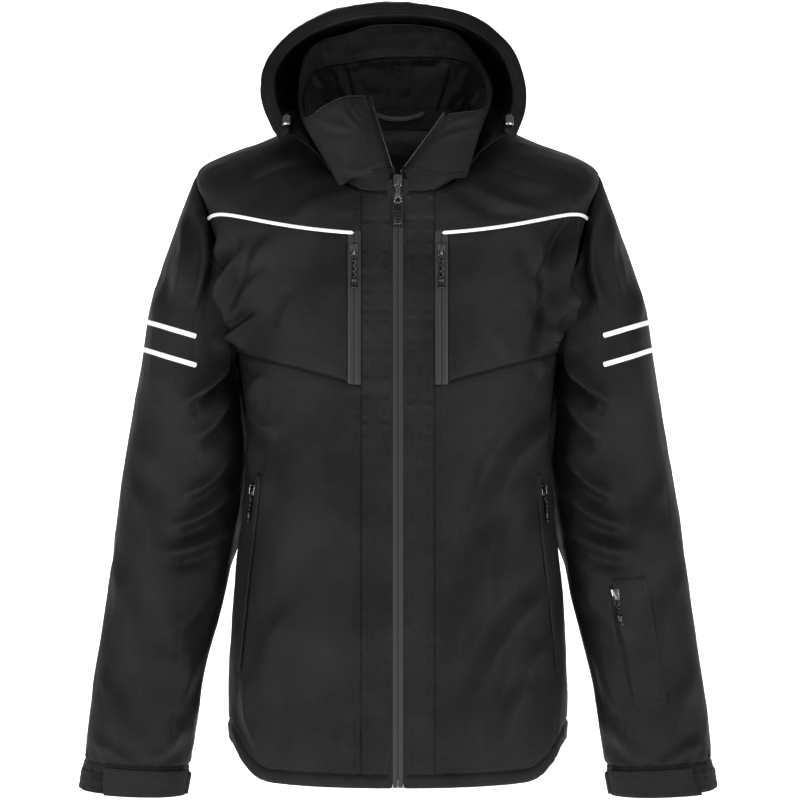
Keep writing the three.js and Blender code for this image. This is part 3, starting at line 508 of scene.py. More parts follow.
def sewn(name, surface, u, v, material, body_name, *, sway=None, wrap=False, flip=False, tuck=3.0,
         thick=4.0, pucker=0.5, lift=0.0, slot="shell", seams=(1, 1, 1, 1), seed=0,
         side=1, groove=None, fill=None):
    """A panel of padded cloth on a surface, its sewn edges pulled in and puckered.

    u and v are grids of the surface's parameters; seams says which of the low, high, first and
    last edges are sewn; groove gives each point's distance from a further seam across the panel;
    fill is not used.
    """
    points, normals = surface(u, v), normal_of(surface, u, v, flip)
    across, up = arc(points, 1), arc(points, 0)
    away = up, up[-1:] - up, across, across[:, -1:] - across
    low, high, first, last = (off if seams[k] and not (wrap and k > 1) else UNSEWN
                              for k, off in enumerate(away))
    rise = np.minimum(np.minimum(low, high), np.minimum(first, last)) + np.zeros(up.shape)
    along = np.where(np.minimum(low, high) < np.minimum(first, last), across, up)
    height = lift - tuck * np.exp(-(rise / 2.6) ** 1.3)
    height = height - 0.4 * stitch_dent(rise)
    ripple = np.stack([along / 5.5, rise / 26 + seed, np.full(along.shape, seed * 3.7)], axis=-1)
    height = height + pucker * noise(ripple, 1, seed) * np.exp(-((rise - 5) / 8) ** 2)
    if sway is not None:
        height = height + sway(points, normals) * np.clip(rise / 14, 0.12, 1)
    if groove is not None:
        off = groove(u, v)
        ripple = np.stack([up / 6, off / 26, np.zeros(up.shape)], axis=-1)
        height = height - 1.5 * np.exp(-(off / 1.8) ** 2) - 0.35 * stitch_dent(off)
        height = height + 0.5 * noise(ripple, 1, seed + 1) * np.exp(-(off / 9) ** 2)
        rise = np.minimum(rise, np.where(off > 0, off, 99.0))
    outer = points + normals * height[..., None]
    depth = np.minimum(thick, 0.6 + thick * np.clip(0.25 + rise / 8, 0, 1))
    inner = outer - normals * depth[..., None]
    both = np.concatenate([outer.reshape(-1, 3), inner.reshape(-1, 3)])
    rows, cols = outer.shape[:2]
    faces = slab_faces(rows, cols, wrap)
    if side < 0:
        both = both * (-1, 1, 1)
    if flip != (side < 0):
        faces = [f[::-1] for f in faces]
    uv = np.stack([across, up], axis=-1).reshape(-1, 2)
    border = np.zeros((rows, cols), bool)
    border[[0, -1]] = True
    if not wrap:
        border[:, [0, -1]] = True
    made = piece(name, both, faces, material, body_name, np.concatenate([uv, uv]),
                 np.concatenate([rise.ravel(), np.full(rise.size, 50.0)]),
                 np.concatenate([border.ravel(), border.ravel()]))
    return made


def rolled(name, path, across, out, width, thick, material, body_name, slot, square=2.8, count=22,
           grooves=(), taper=3, side=1):
    """A closed strip of soft rounded section along a path, with its ends drawn in."""
    phi = np.linspace(0, TURN, count, endpoint=False)
    steps = len(path)
    ends = np.clip(np.minimum(np.arange(steps), np.arange(steps)[::-1]) / taper, 0, 1)
    shrink = np.sqrt(np.clip(1 - (1 - ends) ** 2, 0.02, 1))[:, None, None]
    w = 0.5 * width * signed_power(np.cos(phi), 2 / square)
    h = 0.5 * thick * signed_power(np.sin(phi), 2 / square)
    dent = sum((0.8 * np.exp(-((w - g) / 0.7) ** 2) for g in grooves), 0 * w)
    h = h - dent * np.clip(np.sin(phi) * 2, 0, 1)
    points = path[:, None] + shrink * (across[:, None] * w[:, None] + out[:, None] * h[:, None])
    length = np.concatenate([[0], np.cumsum(np.linalg.norm(np.diff(path, axis=0), axis=-1))])
    grid = np.arange(steps * count).reshape(steps, count)
    loop = np.concatenate([grid, grid[:, :1]], axis=1)
    a, b, c, d = loop[:-1, :-1], loop[:-1, 1:], loop[1:, 1:], loop[1:, :-1]
    faces = np.stack([a, d, c, b], axis=-1).reshape(-1, 4).tolist()
    faces += [grid[0].tolist(), grid[-1, ::-1].tolist()]
    flat = points.reshape(-1, 3)
    turned = np.einsum("ij,ij->i", np.cross(across, out), np.gradient(path, axis=0)).mean() < 0
    if turned:
        faces = [f[::-1] for f in faces]
    if side < 0:
        flat, faces = flat * (-1, 1, 1), [f[::-1] for f in faces]
    uv = np.stack(np.broadcast_arrays(w, length[:, None]), axis=-1).reshape(-1, 2)
    edge = np.tile(0.5 * width - np.abs(w), steps)
    return piece(name, flat, faces, material, body_name, uv, edge)


def laid(name, points, normals, lift, *section, **shape):
    """A rolled strip that lies on a surface, along a line of its points and raised by lift."""
    out = np.cross(normals, unit(np.gradient(points, axis=0)))
    raised = points + normals * (np.zeros(len(points)) + lift)[:, None]
    return rolled(name, raised, out, normals, *section, **shape)


def panel_grid(edge_a, edge_b, low, high, fine=1.1, coarse=3.4, band=14, width=None, height=None):
    """Grids of theta and v between two edges, functions of v, and two seams, of theta."""
    middle = 0.5 * (low(math.pi / 6) + high(math.pi / 6))
    a, b = float(edge_a(np.float64(middle))), float(edge_b(np.float64(middle)))
    span = arc(body(np.linspace(a, b, 60)[None], np.full((1, 60), middle)), 1)[0, -1]
    us = spaced(width or span, fine, coarse, band)
    theta = mix(a, b, 0.4)
    rise = arc(body(np.full((60, 1), theta), np.linspace(low(theta), high(theta), 60)[:, None]), 0)
    vs = spaced(height or rise[-1, 0], fine, coarse, band)
    u, share = np.meshgrid(us, vs)
    at_low, at_high = np.full(us.shape, float(low(theta))), np.full(us.shape, float(high(theta)))
    for _ in range(8):
        at_low = low(mix(edge_a(at_low), edge_b(at_low), us)) + 0 * us
        at_high = high(mix(edge_a(at_high), edge_b(at_high), us)) + 0 * us
    v = mix(at_low[None], at_high[None], share)
    return mix(edge_a(v), edge_b(v), u), v


# ---- materials ----------------------------------------------------------------------------------
def linear(code):
    """The linear colour of an sRGB hex code."""
    channels = [int(code[i:i + 2], 16) / 255 for i in (1, 3, 5)]
    return [*(c / 12.92 if c <= 0.04045 else ((c + 0.055) / 1.055) ** 2.4 for c in channels), 1]


def add(tree, kind, settings=None, stops=(), **links):
    """A node with settings, colour stops and inputs; an input is a (node, output) or a value."""
    made = tree.nodes.new(kind)
    for key, value in (settings or {}).items():
        setattr(made, key, value)
    for element, (place, colour) in zip(made.color_ramp.elements if stops else (), stops):
        element.position, element.color = place, linear(colour)
    for key, value in links.items():
        numbered = key[0] == "i" and key[1:].isdigit()
        socket = made.inputs[int(key[1:]) if numbered else key.replace("_", " ")]
        if isinstance(value, tuple) and isinstance(value[0], bpy.types.Node):
            tree.links.new(value[0].outputs[value[1]], socket)
        else:
            socket.default_value = value
    return made


def fresh(name, **values):
    """A new material, its node tree and its shader, with the shader's values set."""
    material = bpy.data.materials.new(name)
    material.use_nodes = True
    tree = material.node_tree
    shader = tree.nodes["Principled BSDF"]
    for key, value in values.items():
        shader.inputs[key.replace("_", " ")].default_value = value
    return material, tree, shader


BAND = 0.314  # how far apart a wave texture's bands are at scale 1, in metres
THREAD = 1.1 * MM


def woven_polyester(name, dark, light, sheen, crumple=0.35, stitched=True):
    """Plain-weave polyester shell with a matt water-repellent finish: a soft grey bloom at grazing
    light, threads and slubs that break up the highlight, and rows of stitches beside the seams.
    Real threads are 0.3 mm; they are drawn about three times as coarse, to show at all."""
    material, tree, shader = fresh(name, Roughness=0.62, Sheen_Weight=sheen,
                                   Sheen_Roughness=0.5, Specular_IOR_Level=0.12)
    shader.inputs["Sheen Tint"].default_value = linear("#C9CBD0")
    place = add(tree, "ShaderNodeUVMap", {"uv_map": "cloth"})
    solid = add(tree, "ShaderNodeTexCoord")
    warp, weft = (add(tree, "ShaderNodeTexWave", {"wave_type": "BANDS", "bands_direction": way},
                      Vector=(place, "UV"), Scale=BAND / THREAD, Distortion=0.6, Detail=1.0)
                  for way in "XY")
    weave = add(tree, "ShaderNodeMath", {"operation": "MULTIPLY"}, i0=(warp, "Fac"),
                i1=(weft, "Fac"))
    slub_place = add(tree, "ShaderNodeMapping", Vector=(place, "UV"), Scale=(220, 900, 1))
    slub = add(tree, "ShaderNodeTexNoise", Vector=(slub_place, "Vector"), Scale=1.0, Detail=2.0)
    cloud = add(tree, "ShaderNodeTexNoise", Vector=(solid, "Object"), Scale=14.0, Detail=4.0)
    mottle = add(tree, "ShaderNodeMath", {"operation": "MULTIPLY_ADD"}, i0=(slub, "Fac"), i1=0.6,
                 i2=(cloud, "Fac"))
    tone = add(tree, "ShaderNodeValToRGB", stops=((0.6, dark), (0.95, light)),
               Fac=(mottle, "Value"))
    tree.links.new(tone.outputs["Color"], shader.inputs["Base Color"])
    crease = add(tree, "ShaderNodeTexNoise", Vector=(solid, "Object"), Scale=120.0, Detail=5.0)
    soft = add(tree, "ShaderNodeBump", Strength=crumple, Distance=0.0012, Height=(crease, "Fac"))
    threads = add(tree, "ShaderNodeBump", Strength=0.25, Distance=0.00025,
                  Height=(weave, "Value"), Normal=(soft, "Normal"))
    last = threads
    if stitched:
        edge = add(tree, "ShaderNodeAttribute", {"attribute_name": "edge"})
        off = add(tree, "ShaderNodeMath", {"operation": "SUBTRACT"}, i0=(edge, "Fac"),
                  i1=STITCH_ROW)
        near = add(tree, "ShaderNodeMath", {"operation": "ABSOLUTE"}, i0=(off, "Value"))
        row = add(tree, "ShaderNodeMapRange", Value=(near, "Value"), i1=0.25, i2=0.7, i3=1.0,
                  i4=0.0)
        gap = add(tree, "ShaderNodeTexWave", {"wave_type": "BANDS", "bands_direction": "DIAGONAL"},
                  Vector=(place, "UV"), Scale=110.0)
        dash = add(tree, "ShaderNodeMath", {"operation": "MULTIPLY"}, i0=(row, "Result"),
                   i1=(gap, "Fac"))
        last = add(tree, "ShaderNodeBump", Strength=0.8, Distance=0.0005, Height=(dash, "Value"),
                   Normal=(threads, "Normal"))
    tree.links.new(last.outputs["Normal"], shader.inputs["Normal"])
    return material


def grained(name, scale, detail, low, high, strength, distance, **values):
    """A finish whose tone and roughness of surface come from one grain of noise."""
    material, tree, shader = fresh(name, **values)
    solid = add(tree, "ShaderNodeTexCoord")
    grain = add(tree, "ShaderNodeTexNoise", Vector=(solid, "Object"), Scale=scale, Detail=detail)
    tone = add(tree, "ShaderNodeValToRGB", stops=(low, high), Fac=(grain, "Fac"))
    tree.links.new(tone.outputs["Color"], shader.inputs["Base Color"])
    bump = add(tree, "ShaderNodeBump", Strength=strength, Distance=distance, Height=(grain, "Fac"))
    tree.links.new(bump.outputs["Normal"], shader.inputs["Normal"])
    return material


def loop_pile(name):
    """Knitted loop pile of a hook-and-loop patch: rough and fuzzy, with painted shade in the hollows between the
    loops.
    """
    material, tree, shader = fresh(name, Roughness=0.95, Sheen_Weight=0.1, Specular_IOR_Level=0.1)
    solid = add(tree, "ShaderNodeTexCoord")
    loops = add(tree, "ShaderNodeTexVoronoi", Vector=(solid, "Object"), Scale=700.0)
    # Painted shade: the colour darkens from each loop's middle to the hollows between the loops.
    tone = add(tree, "ShaderNodeValToRGB", stops=((0.05, "#2C2C2E"), (0.7, "#0B0B0C")),
               Fac=(loops, "Distance"))
    tree.links.new(tone.outputs["Color"], shader.inputs["Base Color"])
    bump = add(tree, "ShaderNodeBump", {"invert": True}, Strength=0.9, Distance=0.0012,
               Height=(loops, "Distance"))
    tree.links.new(bump.outputs["Normal"], shader.inputs["Normal"])
    return material


SHELL = woven_polyester("plain_weave_polyester_shell", "#121213", "#202021", 0.012)
FACING = woven_polyester("plain_weave_collar_facing", "#161617", "#252526", 0.02,
                         crumple=0.5, stitched=False)
# Polyester taffeta: thin and smooth, with a low satin gloss and small crisp wrinkles.
TAFFETA = {"Roughness": 0.42, "Specular_IOR_Level": 0.3, "Sheen_Weight": 0.02}
LINING = grained("polyester_taffeta_lining", 75.0, 5.0, (0.3, "#080809"), (0.75, "#121214"),
                 0.35, 0.002, **TAFFETA)
SATIN = grained("woven_satin_label", 75.0, 5.0, (0.3, "#060607"), (0.75, "#0E0E10"),
                0.35, 0.002, **TAFFETA)
# Polyurethane film on zip tape: smooth and rubbery, a broad soft highlight, faint cloth below.
TAPE = grained("laminated_zip_tape", 900.0, 2.0, (0.35, "#29292A"), (0.7, "#323234"),
               0.12, 0.0004, Roughness=0.4, Specular_IOR_Level=0.3)
# Plain woven zip tape, matt.
BACKING = grained("woven_zip_backing", 900.0, 2.0, (0.35, "#0C0C0D"), (0.7, "#141415"),
                  0.12, 0.0004, Roughness=0.4, Specular_IOR_Level=0.08)
LOOP_TAPE = grained("twill_hanger_tape", 900.0, 2.0, (0.35, "#5E5E60"), (0.7, "#707072"),
                    0.12, 0.0004, Roughness=0.4, Specular_IOR_Level=0.3)
# White bonded trim: even and bright, faintly pebbled by the weave under it.
WHITE = grained("white_bonded_tape", 1400.0, 2.0, (0.3, "#E6E6E4"), (0.6, "#FAFAF8"),
                0.15, 0.0003, Roughness=0.5, Specular_IOR_Level=0.3)
# Die-cast zinc, dark plated: hard small highlights, its tone a little uneven.
ZINC = grained("dark_plated_zinc", 420.0, 4.0, (0.45, "#6E6E70"), (0.75, "#949496"),
               0.1, 0.0003, Roughness=0.24, Metallic=1.0)
# Soft moulded plastic of the zip pulls: black, slightly glossy, with a spark-eroded skin.
TPU = grained("moulded_tpu_pull", 2200.0, 2.0, (0.3, "#050506"), (0.8, "#0E0E0F"),
              0.25, 0.0002, Roughness=0.24)
PILE = loop_pile("knitted_loop_pile")

# ---- camera, light and stage --------------------------------------------------------------------
camera = bpy.data.cameras.new("camera")
DISTANCE, VIEW_WIDTH = 2500, 920  # from the camera to the jacket's middle, and the width seen there
camera.sensor_width, camera.lens = 36, 36 * DISTANCE / VIEW_WIDTH
camera.clip_end = 50
eye = placed("camera", camera, (0.0023, -(DISTANCE + LOOP_OFF) * MM, -0.328))
eye.rotation_euler = (math.pi / 2, 0, 0)
bpy.context.scene.camera = eye

MIDDLE = Vector((0, 0, -0.33))


def soft_box(name, place, size, power):
    light = bpy.data.lights.new(name, "AREA")
    light.shape, light.size, light.size_y = "RECTANGLE", size[0], size[1]
    light.energy = power
    aim = MIDDLE - Vector(place)
    placed(name, light, place).rotation_euler = aim.to_track_quat("-Z", "Y").to_euler()


soft_box("key_soft_box", (-1.6, -2.1, -0.8), (0.6, 1.0), 30)
soft_box("fill_soft_box", (1.6, -2.1, -0.7), (0.6, 1.0), 24)
soft_box("low_soft_box", (0.2, -2.4, -1.1), (1.6, 0.5), 4)
bpy.context.scene.view_settings.view_transform = "Standard"

world = bpy.data.worlds.new("white_studio")
world.use_nodes = True
world.node_tree.nodes["Background"].inputs["Color"].default_value = (1, 1, 1, 1)
world.node_tree.nodes["Background"].inputs["Strength"].default_value = 0.3
bpy.context.scene.world = world


def white_sweep():
    """One sheet of pale studio paper: a floor that curves up into the wall behind the jacket."""
    floor, back, bend = -1.06, 6.0, 1.2
    profile = [(-6.0, floor), (back - bend, floor)]
    profile += [(back - bend + bend * math.sin(a), floor + bend - bend * math.cos(a))
                for a in (math.pi / 2 * k / 16 for k in range(1, 17))]
    profile += [(back, 6.0)]
    points = np.array([(x, y, z) for y, z in profile for x in (-7.0, 7.0)])
    faces = [(2 * i, 2 * i + 1, 2 * i + 3, 2 * i + 2) for i in range(len(profile) - 1)]
    paper, tree, shader = fresh("pale_studio_paper", Roughness=0.9, Emission_Strength=1.0)
    shader.inputs["Base Color"].default_value = linear("#F7F7F7")
    shader.inputs["Emission Color"].default_value = linear("#FFFFFF")
    mesh = bpy.data.meshes.new("studio_sweep")
    mesh.from_pydata(points.tolist(), [], faces)
    mesh.materials.append(paper)
    mesh.polygons.foreach_set("use_smooth", np.ones(len(mesh.polygons), bool))
    placed("studio_sweep", mesh)


white_sweep()

# ---- body panels --------------------------------------------------------------------------------
PLACKET_EDGE, HEM_BAND = 40, 20
HEM_TOP = HEM_BAND / 88
SIDE = 90 * RAD
ZIP_X = 47.8  # middle of a chest zip from the centre front
ZIP_EDGE = 8.2  # where the fronts end beside the main zip
NECK_EDGE = NECK - 0.02
POCKET_HALF = 6.8


def hem_line(theta):
    """The hem, which curves up to the side seams."""
    turn = np.abs((np.asarray(theta) + math.pi) % TURN - math.pi)
    return 0.45 * ramp(44 * RAD, 80 * RAD, turn) * ramp(-134 * RAD, -98 * RAD, -turn)


def hem_top(theta):
    return hem_line(theta) + HEM_TOP


def chest_seam(theta):
    """The seam under the chest panel, which climbs to the side."""
    share = np.clip((np.abs(np.sin(theta)) ** 0.8 - 0.2) / 0.8, 0, 1)
    return CHEST_SEAM + 0.02 + 0.72 * share


def yoke_seam(theta):
    """The piped seam between chest panel and yoke."""
    share = np.clip(np.abs(theta) / (69 * RAD), 0, 1)
    return PIPING + 0.06 + 0.2 * np.sin(math.pi * share) - 0.12 * share ** 4


def constant(value):
    """A line that keeps one value all along."""
    return lambda along: np.zeros(np.shape(along)) + value


def placket_line(v):
    return angle_at(PLACKET_EDGE, v)


def outer_line(v):
    """The armhole's front edge, and the side or shoulder seam beyond it."""
    return ARM_MIDDLE - armhole_reach(v)


def side_line(v):
    return mix(SIDE, ARM_MIDDLE, ramp(4.6, 5, v))


def back_line(v):
    return np.where(v < ARMPIT, side_line(v), ARM_MIDDLE + armhole_reach(v))


def centre_front(v):
    return angle_at(ZIP_EDGE, v)


def yoke_outer(v):
    return np.where(v < SHOULDER_SEAM, outer_line(v), ARM_MIDDLE)


def make_body():
    """The sewn panels of fronts, yoke, back, hem band and lining."""
    chest_front = ZIP_X + POCKET_HALF + 0.6
    # Each panel's name, grid, seed, pucker, tuck and fill.
    panels = [
        ("front_panel", panel_grid(placket_line, side_line, hem_top, chest_seam), 2, 0.5, 3, FILL),
        ("chest_panel", panel_grid(lambda v: angle_at(chest_front, v),
                                   lambda v: np.where(v < ARMPIT, side_line(v), outer_line(v)),
                                   chest_seam, yoke_seam), 6, 0.35, 3, FILL),
        ("placket", panel_grid(centre_front, placket_line, hem_top, constant(NECK_EDGE),
                               coarse=2.6), 10, 1.0, 2.2, None),
        ("front_yoke", panel_grid(placket_line, yoke_outer, yoke_seam, constant(NECK_EDGE)),
         14, 0.35, 3, FILL),
    ]
    for side, label in SIDES:
        for name, grid, seed, pucker, tuck, fill in panels:
            made = sewn(name + "_cloth_" + label, body, *grid, SHELL, "jacket", side=side,
                        sway=mirrored(side), seed=seed + side, pucker=pucker, tuck=tuck, fill=fill)
            if name != "front_yoke":
                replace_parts(made, name + "_" + label)
            elif side > 0:
                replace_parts(made, "yoke")
        make_piping(side, label, mirrored(side))
    back = panel_grid(back_line, lambda v: TURN - back_line(v), hem_top,
                      constant(float(SHOULDER_SEAM)), coarse=4.5)
    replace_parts(sewn("back_panel_cloth", body, *back, SHELL, "jacket", sway=body_sway, seed=21,
                     fill=FILL),
                "back_panel")
    top = panel_grid(constant(ARM_MIDDLE), constant(TURN - ARM_MIDDLE),
                     constant(float(SHOULDER_SEAM)), constant(NECK_EDGE), coarse=3.6)
    sewn("back_yoke_cloth", body, *top, SHELL, "jacket", sway=body_sway, seed=23, fill=FILL)
    band = panel_grid(centre_front, lambda v: TURN - centre_front(v), hem_line,
                      lambda theta: hem_top(theta) + 0.01, fine=1.3, coarse=3.0, band=6)
    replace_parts(sewn("hem_band_cloth", body, *band, SHELL, "jacket", lift=0.6, tuck=2.8, thick=9,
                     pucker=1.1, seed=25, sway=loose(0.5, 51)), "hem_band")
    inside = panel_grid(lambda v: angle_at(8.6, v), lambda v: TURN - angle_at(8.6, v),
                        lambda theta: hem_top(theta) - 0.1, constant(float(NECK)), fine=4,
                        coarse=8, band=20)
    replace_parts(sewn("body_lining_cloth", body, *inside, LINING, "jacket", lift=-19, thick=1.2,
                     sway=loose(0.6, 61), slot="lining", tuck=0.5, pucker=0.2),
                "body_lining", "back_yoke_lining")


def make_piping(side, label, sway):
    """A flat white tape bound into the yoke seam, from the chest zip to the armhole."""
    theta = np.linspace(float(angle_at(ZIP_X + 0.5, np.float64(PIPING))),
                        float(outer_line(np.float64(PIPING))), 150)
    line = yoke_seam(theta)
    points, normals = body(theta, line), normal_of(body, theta, line)
    made = laid("piping_tape_" + label, points, normals, 0.25 * sway(points, normals) + 0.1, 3.9,
                2.0, WHITE, "jacket", "reflective_tape", square=3.6, taper=0.8, side=side)
    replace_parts(made, "chest_piping_" + label)


def zip_strip(name, side, x, v, material, lift, share):
    """A flat length of zip tape beside a zip's middle; share is how far it follows the cloth."""
    x, v = np.meshgrid(x, v)
    return sewn(name, body, angle_at(x, v), v, material, "jacket", side=side, tuck=0.5, pucker=0,
                thick=1.2, lift=lift, slot="zip_tape", sway=mirrored(side, share))


def make_zip_tapes():
    """Laminated tapes with the teeth behind: each a pair of flat halves that all but meet."""
    for side, label in SIDES:
        v = np.linspace(HEM_TOP - 0.21, NECK_EDGE, 420)
        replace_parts(zip_strip("main_zip_tape_" + label, side, np.linspace(0.35, 5.6, 5), v, TAPE,
                              -0.5, 0.06), "main_zip_" + label)
        zip_strip("main_zip_guard_" + label, side, np.linspace(5.9, 9.4, 5), v, SHELL, -0.9, 0.06)
        low = chest_seam(float(angle_at(ZIP_X, np.float64(4.1)))) - 0.02
        v = np.linspace(low, yoke_seam(0.3) - 0.02, 200)
        for half, start, end in (("inner", -7.2, -0.3), ("outer", 0.3, 7.2)):
            made = zip_strip("chest_zip_tape_" + half + "_" + label, side,
                             np.linspace(ZIP_X + start, ZIP_X + end, 6), v, TAPE, -0.8, 0.15)
            if half == "inner":
                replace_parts(made, "chest_zip_" + label)


def behind_zip(x, v):
    """A flat strip behind the front zip; x is measured across it from the middle."""
    return body(np.zeros(np.shape(x)), v) + stack(x, 4.5 + 0 * x, 0 * x)


def make_draft_flap():
    """The flap of cloth behind the main zip, and its end where the zip leaves the neck."""
    x, v = np.meshgrid(np.linspace(-13, 13, 9), np.linspace(HEM_TOP - 0.16, NECK - 0.05, 260))
    sewn("zip_draft_flap", behind_zip, x, v, SHELL, "jacket", tuck=0.8, pucker=0.3, thick=1.6,
         sway=mirrored(1, 0.15), seed=29)
    z = np.linspace(-108, -84, 20)
    rolled("zip_draft_flap_top", stack(0, -116, z), stack(1 + 0 * z, 0, 0), stack(0 * z, -1, 0),
           24, 2, SHELL, "jacket", "shell", square=3)


make_body()
make_zip_tapes()
make_draft_flap()


# ---- sleeves ------------------------------------------------------------------------------------
STRIPES = (1.36, 1.85)
STRIPE_START = {1: -13 * RAD, -1: -18 * RAD}
# A slanted band across the shoulder, given by its direction and width.
SHOULDER_WAY, SHOULDER_BAND = np.array([0.95, 0, -0.312]), 34


def bend_shoulder(cloth):
    """Bake a piece's placement into its mesh; where the shoulder band starts is worked out but not used."""
    start = (armhole_point(np.linspace(0, TURN, 90)) @ SHOULDER_WAY).max() + 2
    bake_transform(cloth)


def sleeve_grid(s0, s1, cols, fine=1.6, coarse=3.6, band=12):
    first, last = np.mean(s0(np.zeros(1))), np.mean(s1(np.zeros(1)))
    length = 74 * (last - first) + (40 if first < 0 else 0)
    angle = np.linspace(0, TURN, cols, endpoint=False)
    angle, share = np.meshgrid(angle, spaced(length, fine, coarse, band))
    return angle, mix(s0(angle), s1(angle), share)


def make_sleeves():
    """Upper sleeve, forearm and gathered cuff, which meet end to end, and the stripes."""
    for side, label in SIDES:
        sway = make_sleeve_sway(side)

        def tube(name, body_name, start, end, cols, steps=(), **shape):
            grid = sleeve_grid(constant(start), constant(end), cols, *steps)
            return sewn(name + "_cloth_" + label, sleeve, *grid, SHELL, body_name, wrap=True,
                        flip=True, side=side, **shape)

        padded = {"sway": sway, "tuck": 2.5, "seed": 33, "groove": sleeve_seam_distance,
                  "fill": FILL}
        upper = tube("upper_sleeve", None, -0.35, float(ELBOW), 150, seams=(1, 0, 0, 0),
                     pucker=0.6, **padded)
        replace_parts(upper, "sleeve_upper_" + label)
        bend_shoulder(upper)
        fore = tube("forearm", None, float(ELBOW), CUFF - 0.02, 150, seams=(0, 1, 0, 0),
                    pucker=1.4, **padded)
        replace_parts(fore, "sleeve_fore_" + label)
        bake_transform(fore)
        cuff = tube("cuff", "forearm_" + label, CUFF - 0.03, float(SLEEVE_END), 220, (1, 2, 5),
                    sway=cuff_sway, seams=(1, 1, 0, 0), tuck=2.0, pucker=0.9, seed=37, lift=-0.4,
                    thick=6)
        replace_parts(cuff, "cuff_" + label)
        for number, height in zip(("upper", "lower"), STRIPES):
            make_stripe(side, label, number, height, sway)


def cuff_sway(points, normals):
    """Elastic gathers: narrow ridges that run down the cuff, away from the closing tab."""
    turn = np.arctan2(points[..., 0] - 300, -(points[..., 1] + 20))
    gather = np.stack([turn * 16, points[..., 2] / 40, np.zeros(turn.shape)], axis=-1)
    return 1.6 * ramp(0.2, 0.7, turn) * noise(gather, 1, 43) + 0.2 * hang(points, 41)


def make_stripe(side, label, number, height, sway):
    """A white tape round the outside of the sleeve, level as seen from the front."""
    angle = np.linspace(STRIPE_START[side], 152 * RAD, 150)
    start = sleeve(angle[:1], np.full(1, height))
    s = np.full(angle.shape, height)
    goal = start[0, 2] + 3 + 0.29 * (sleeve(angle, s)[:, 0] - start[0, 0])
    for _ in range(12):
        s = s + (sleeve(angle, s)[:, 2] - goal) / 70
    points, normals = sleeve(angle, s), normal_of(sleeve, angle, s, True)
    made = laid("sleeve_stripe_" + number + "_" + label, points, normals,
                sway(points, normals) + 0.35, 5.6, 1.1, WHITE, None, "reflective_tape", square=5,
                taper=0.6, side=side)
    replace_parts(made, "stripe_" + number + "_" + label)
    bend_shoulder(made)


def make_cuff_closures():
    """The stitched tab that closes each cuff over its pile patch."""
    for side, label, end, low_corner in ((1, "left", 32, 1.10), (-1, "right", 26, 1.04)):
        share = spaced(90, 1.0, 2.4, 8)
        across = spaced(26, 1.0, 1.8, 5)
        u, w = np.meshgrid(share, across)
        slant = (w - 0.5) * 9 * RAD * (1 if side > 0 else -0.6)
        angle = mix(-74 * RAD, end * RAD + slant, u)
        s_low, s_high = CUFF + 0.02, CUFF + mix(1.0, low_corner, u)
        tab = sewn("cuff_tab_cloth_" + label, sleeve, angle, mix(s_low, s_high, w), SHELL,
                   "cuff_tab_" + label, flip=True, side=side, lift=4.6, thick=2.4, tuck=0.9,
                   pucker=0.35, seed=51, sway=loose(0.3, 53))
        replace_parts(tab, "cuff_tab_" + label)
        s = np.linspace(CUFF + 0.06, CUFF + 0.96, 40)
        angle = np.full(s.shape, -77 * RAD)
        points, normals = sleeve(angle, s), normal_of(sleeve, angle, s, True)
        laid("cuff_tab_root_" + label, points, normals, 2.4, 10, 6.5, SHELL, "forearm_" + label,
             "shell", square=2.6, side=side)
        angle, s = np.meshgrid(np.linspace((end - 8) * RAD, (end + 56) * RAD, 70),
                               np.linspace(CUFF + 0.14, CUFF + 0.9, 24))
        patch = sewn("cuff_pile_patch_" + label, sleeve, angle, s, PILE, "forearm_" + label,
                     flip=True, side=side, lift=1.6, thick=1.6, tuck=0.8, pucker=0.3, seed=55,
                     sway=lambda p, n: 0.35 * noise(p, 3, 57), slot="loop_fleece")
        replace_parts(patch, "cuff_loop_patch_" + label)


make_sleeves()
make_cuff_closures()


# ---- collar and hood ----------------------------------------------------------------------------
COLLAR_LENGTH = 594
FACING_DEPTH = 0.34  # how far down the inside of the collar its plain facing reaches


def make_collar():
    """The collar's outside, the plain facing inside its rim and the lining below."""
    t = np.concatenate([np.linspace(0, 0.06, 14), np.linspace(0.06, 0.94, 200)[1:-1],
                        np.linspace(0.94, 1, 14)])
    s = np.concatenate([np.linspace(0, FOLD, 12)[:-1],
                        FOLD + (1 - FOLD) * spaced(112, 1.2, 2.6, 10)])
    outer = sewn("collar_cloth", collar, *np.meshgrid(t, s), SHELL, "jacket", flip=True, lift=-0.3,
                 thick=2.5, sway=collar_sway, pucker=0.5, seed=41, tuck=2.4, seams=(0, 1, 1, 1),
                 fill=0.2)
    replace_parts(outer, "collar")
    s = 1 - FACING_DEPTH + FACING_DEPTH * spaced(40, 1.0, 2.2, 8)
    sewn("collar_facing_cloth", collar, *np.meshgrid(t, s), FACING, "jacket", lift=4.8, thick=1.6,
         sway=facing_sway, pucker=0.6, seed=43, tuck=2.4, groove=facing_seams)
    s = (1 - FACING_DEPTH + 0.02) * np.linspace(0, 1, 60)
    t = np.linspace(0.0, 1.0, 260)
    sewn("collar_lining_cloth", collar, *np.meshgrid(t, s), LINING, "jacket", lift=5.2, thick=1.2,
         sway=pleat_sway, pucker=0.3, seed=44, tuck=1.0, slot="lining")


def facing_seams(t, s):
    """Distance from the two short seams that join the facing's three lengths, behind the neck."""
    return COLLAR_LENGTH * np.minimum(np.abs(t - 0.46), np.abs(t - 0.62))


def collar_sway(points, normals):
    front = ramp(0.2, 0.6, -normals[..., 1])
    return 0.6 * hang(points, 71) + front * fold_heights(points, COLLAR_FOLDS)


def facing_sway(points, normals):
    return 1.3 * hang(points, 73) + 1.2 * noise(points, (16, 30, 14), 75)


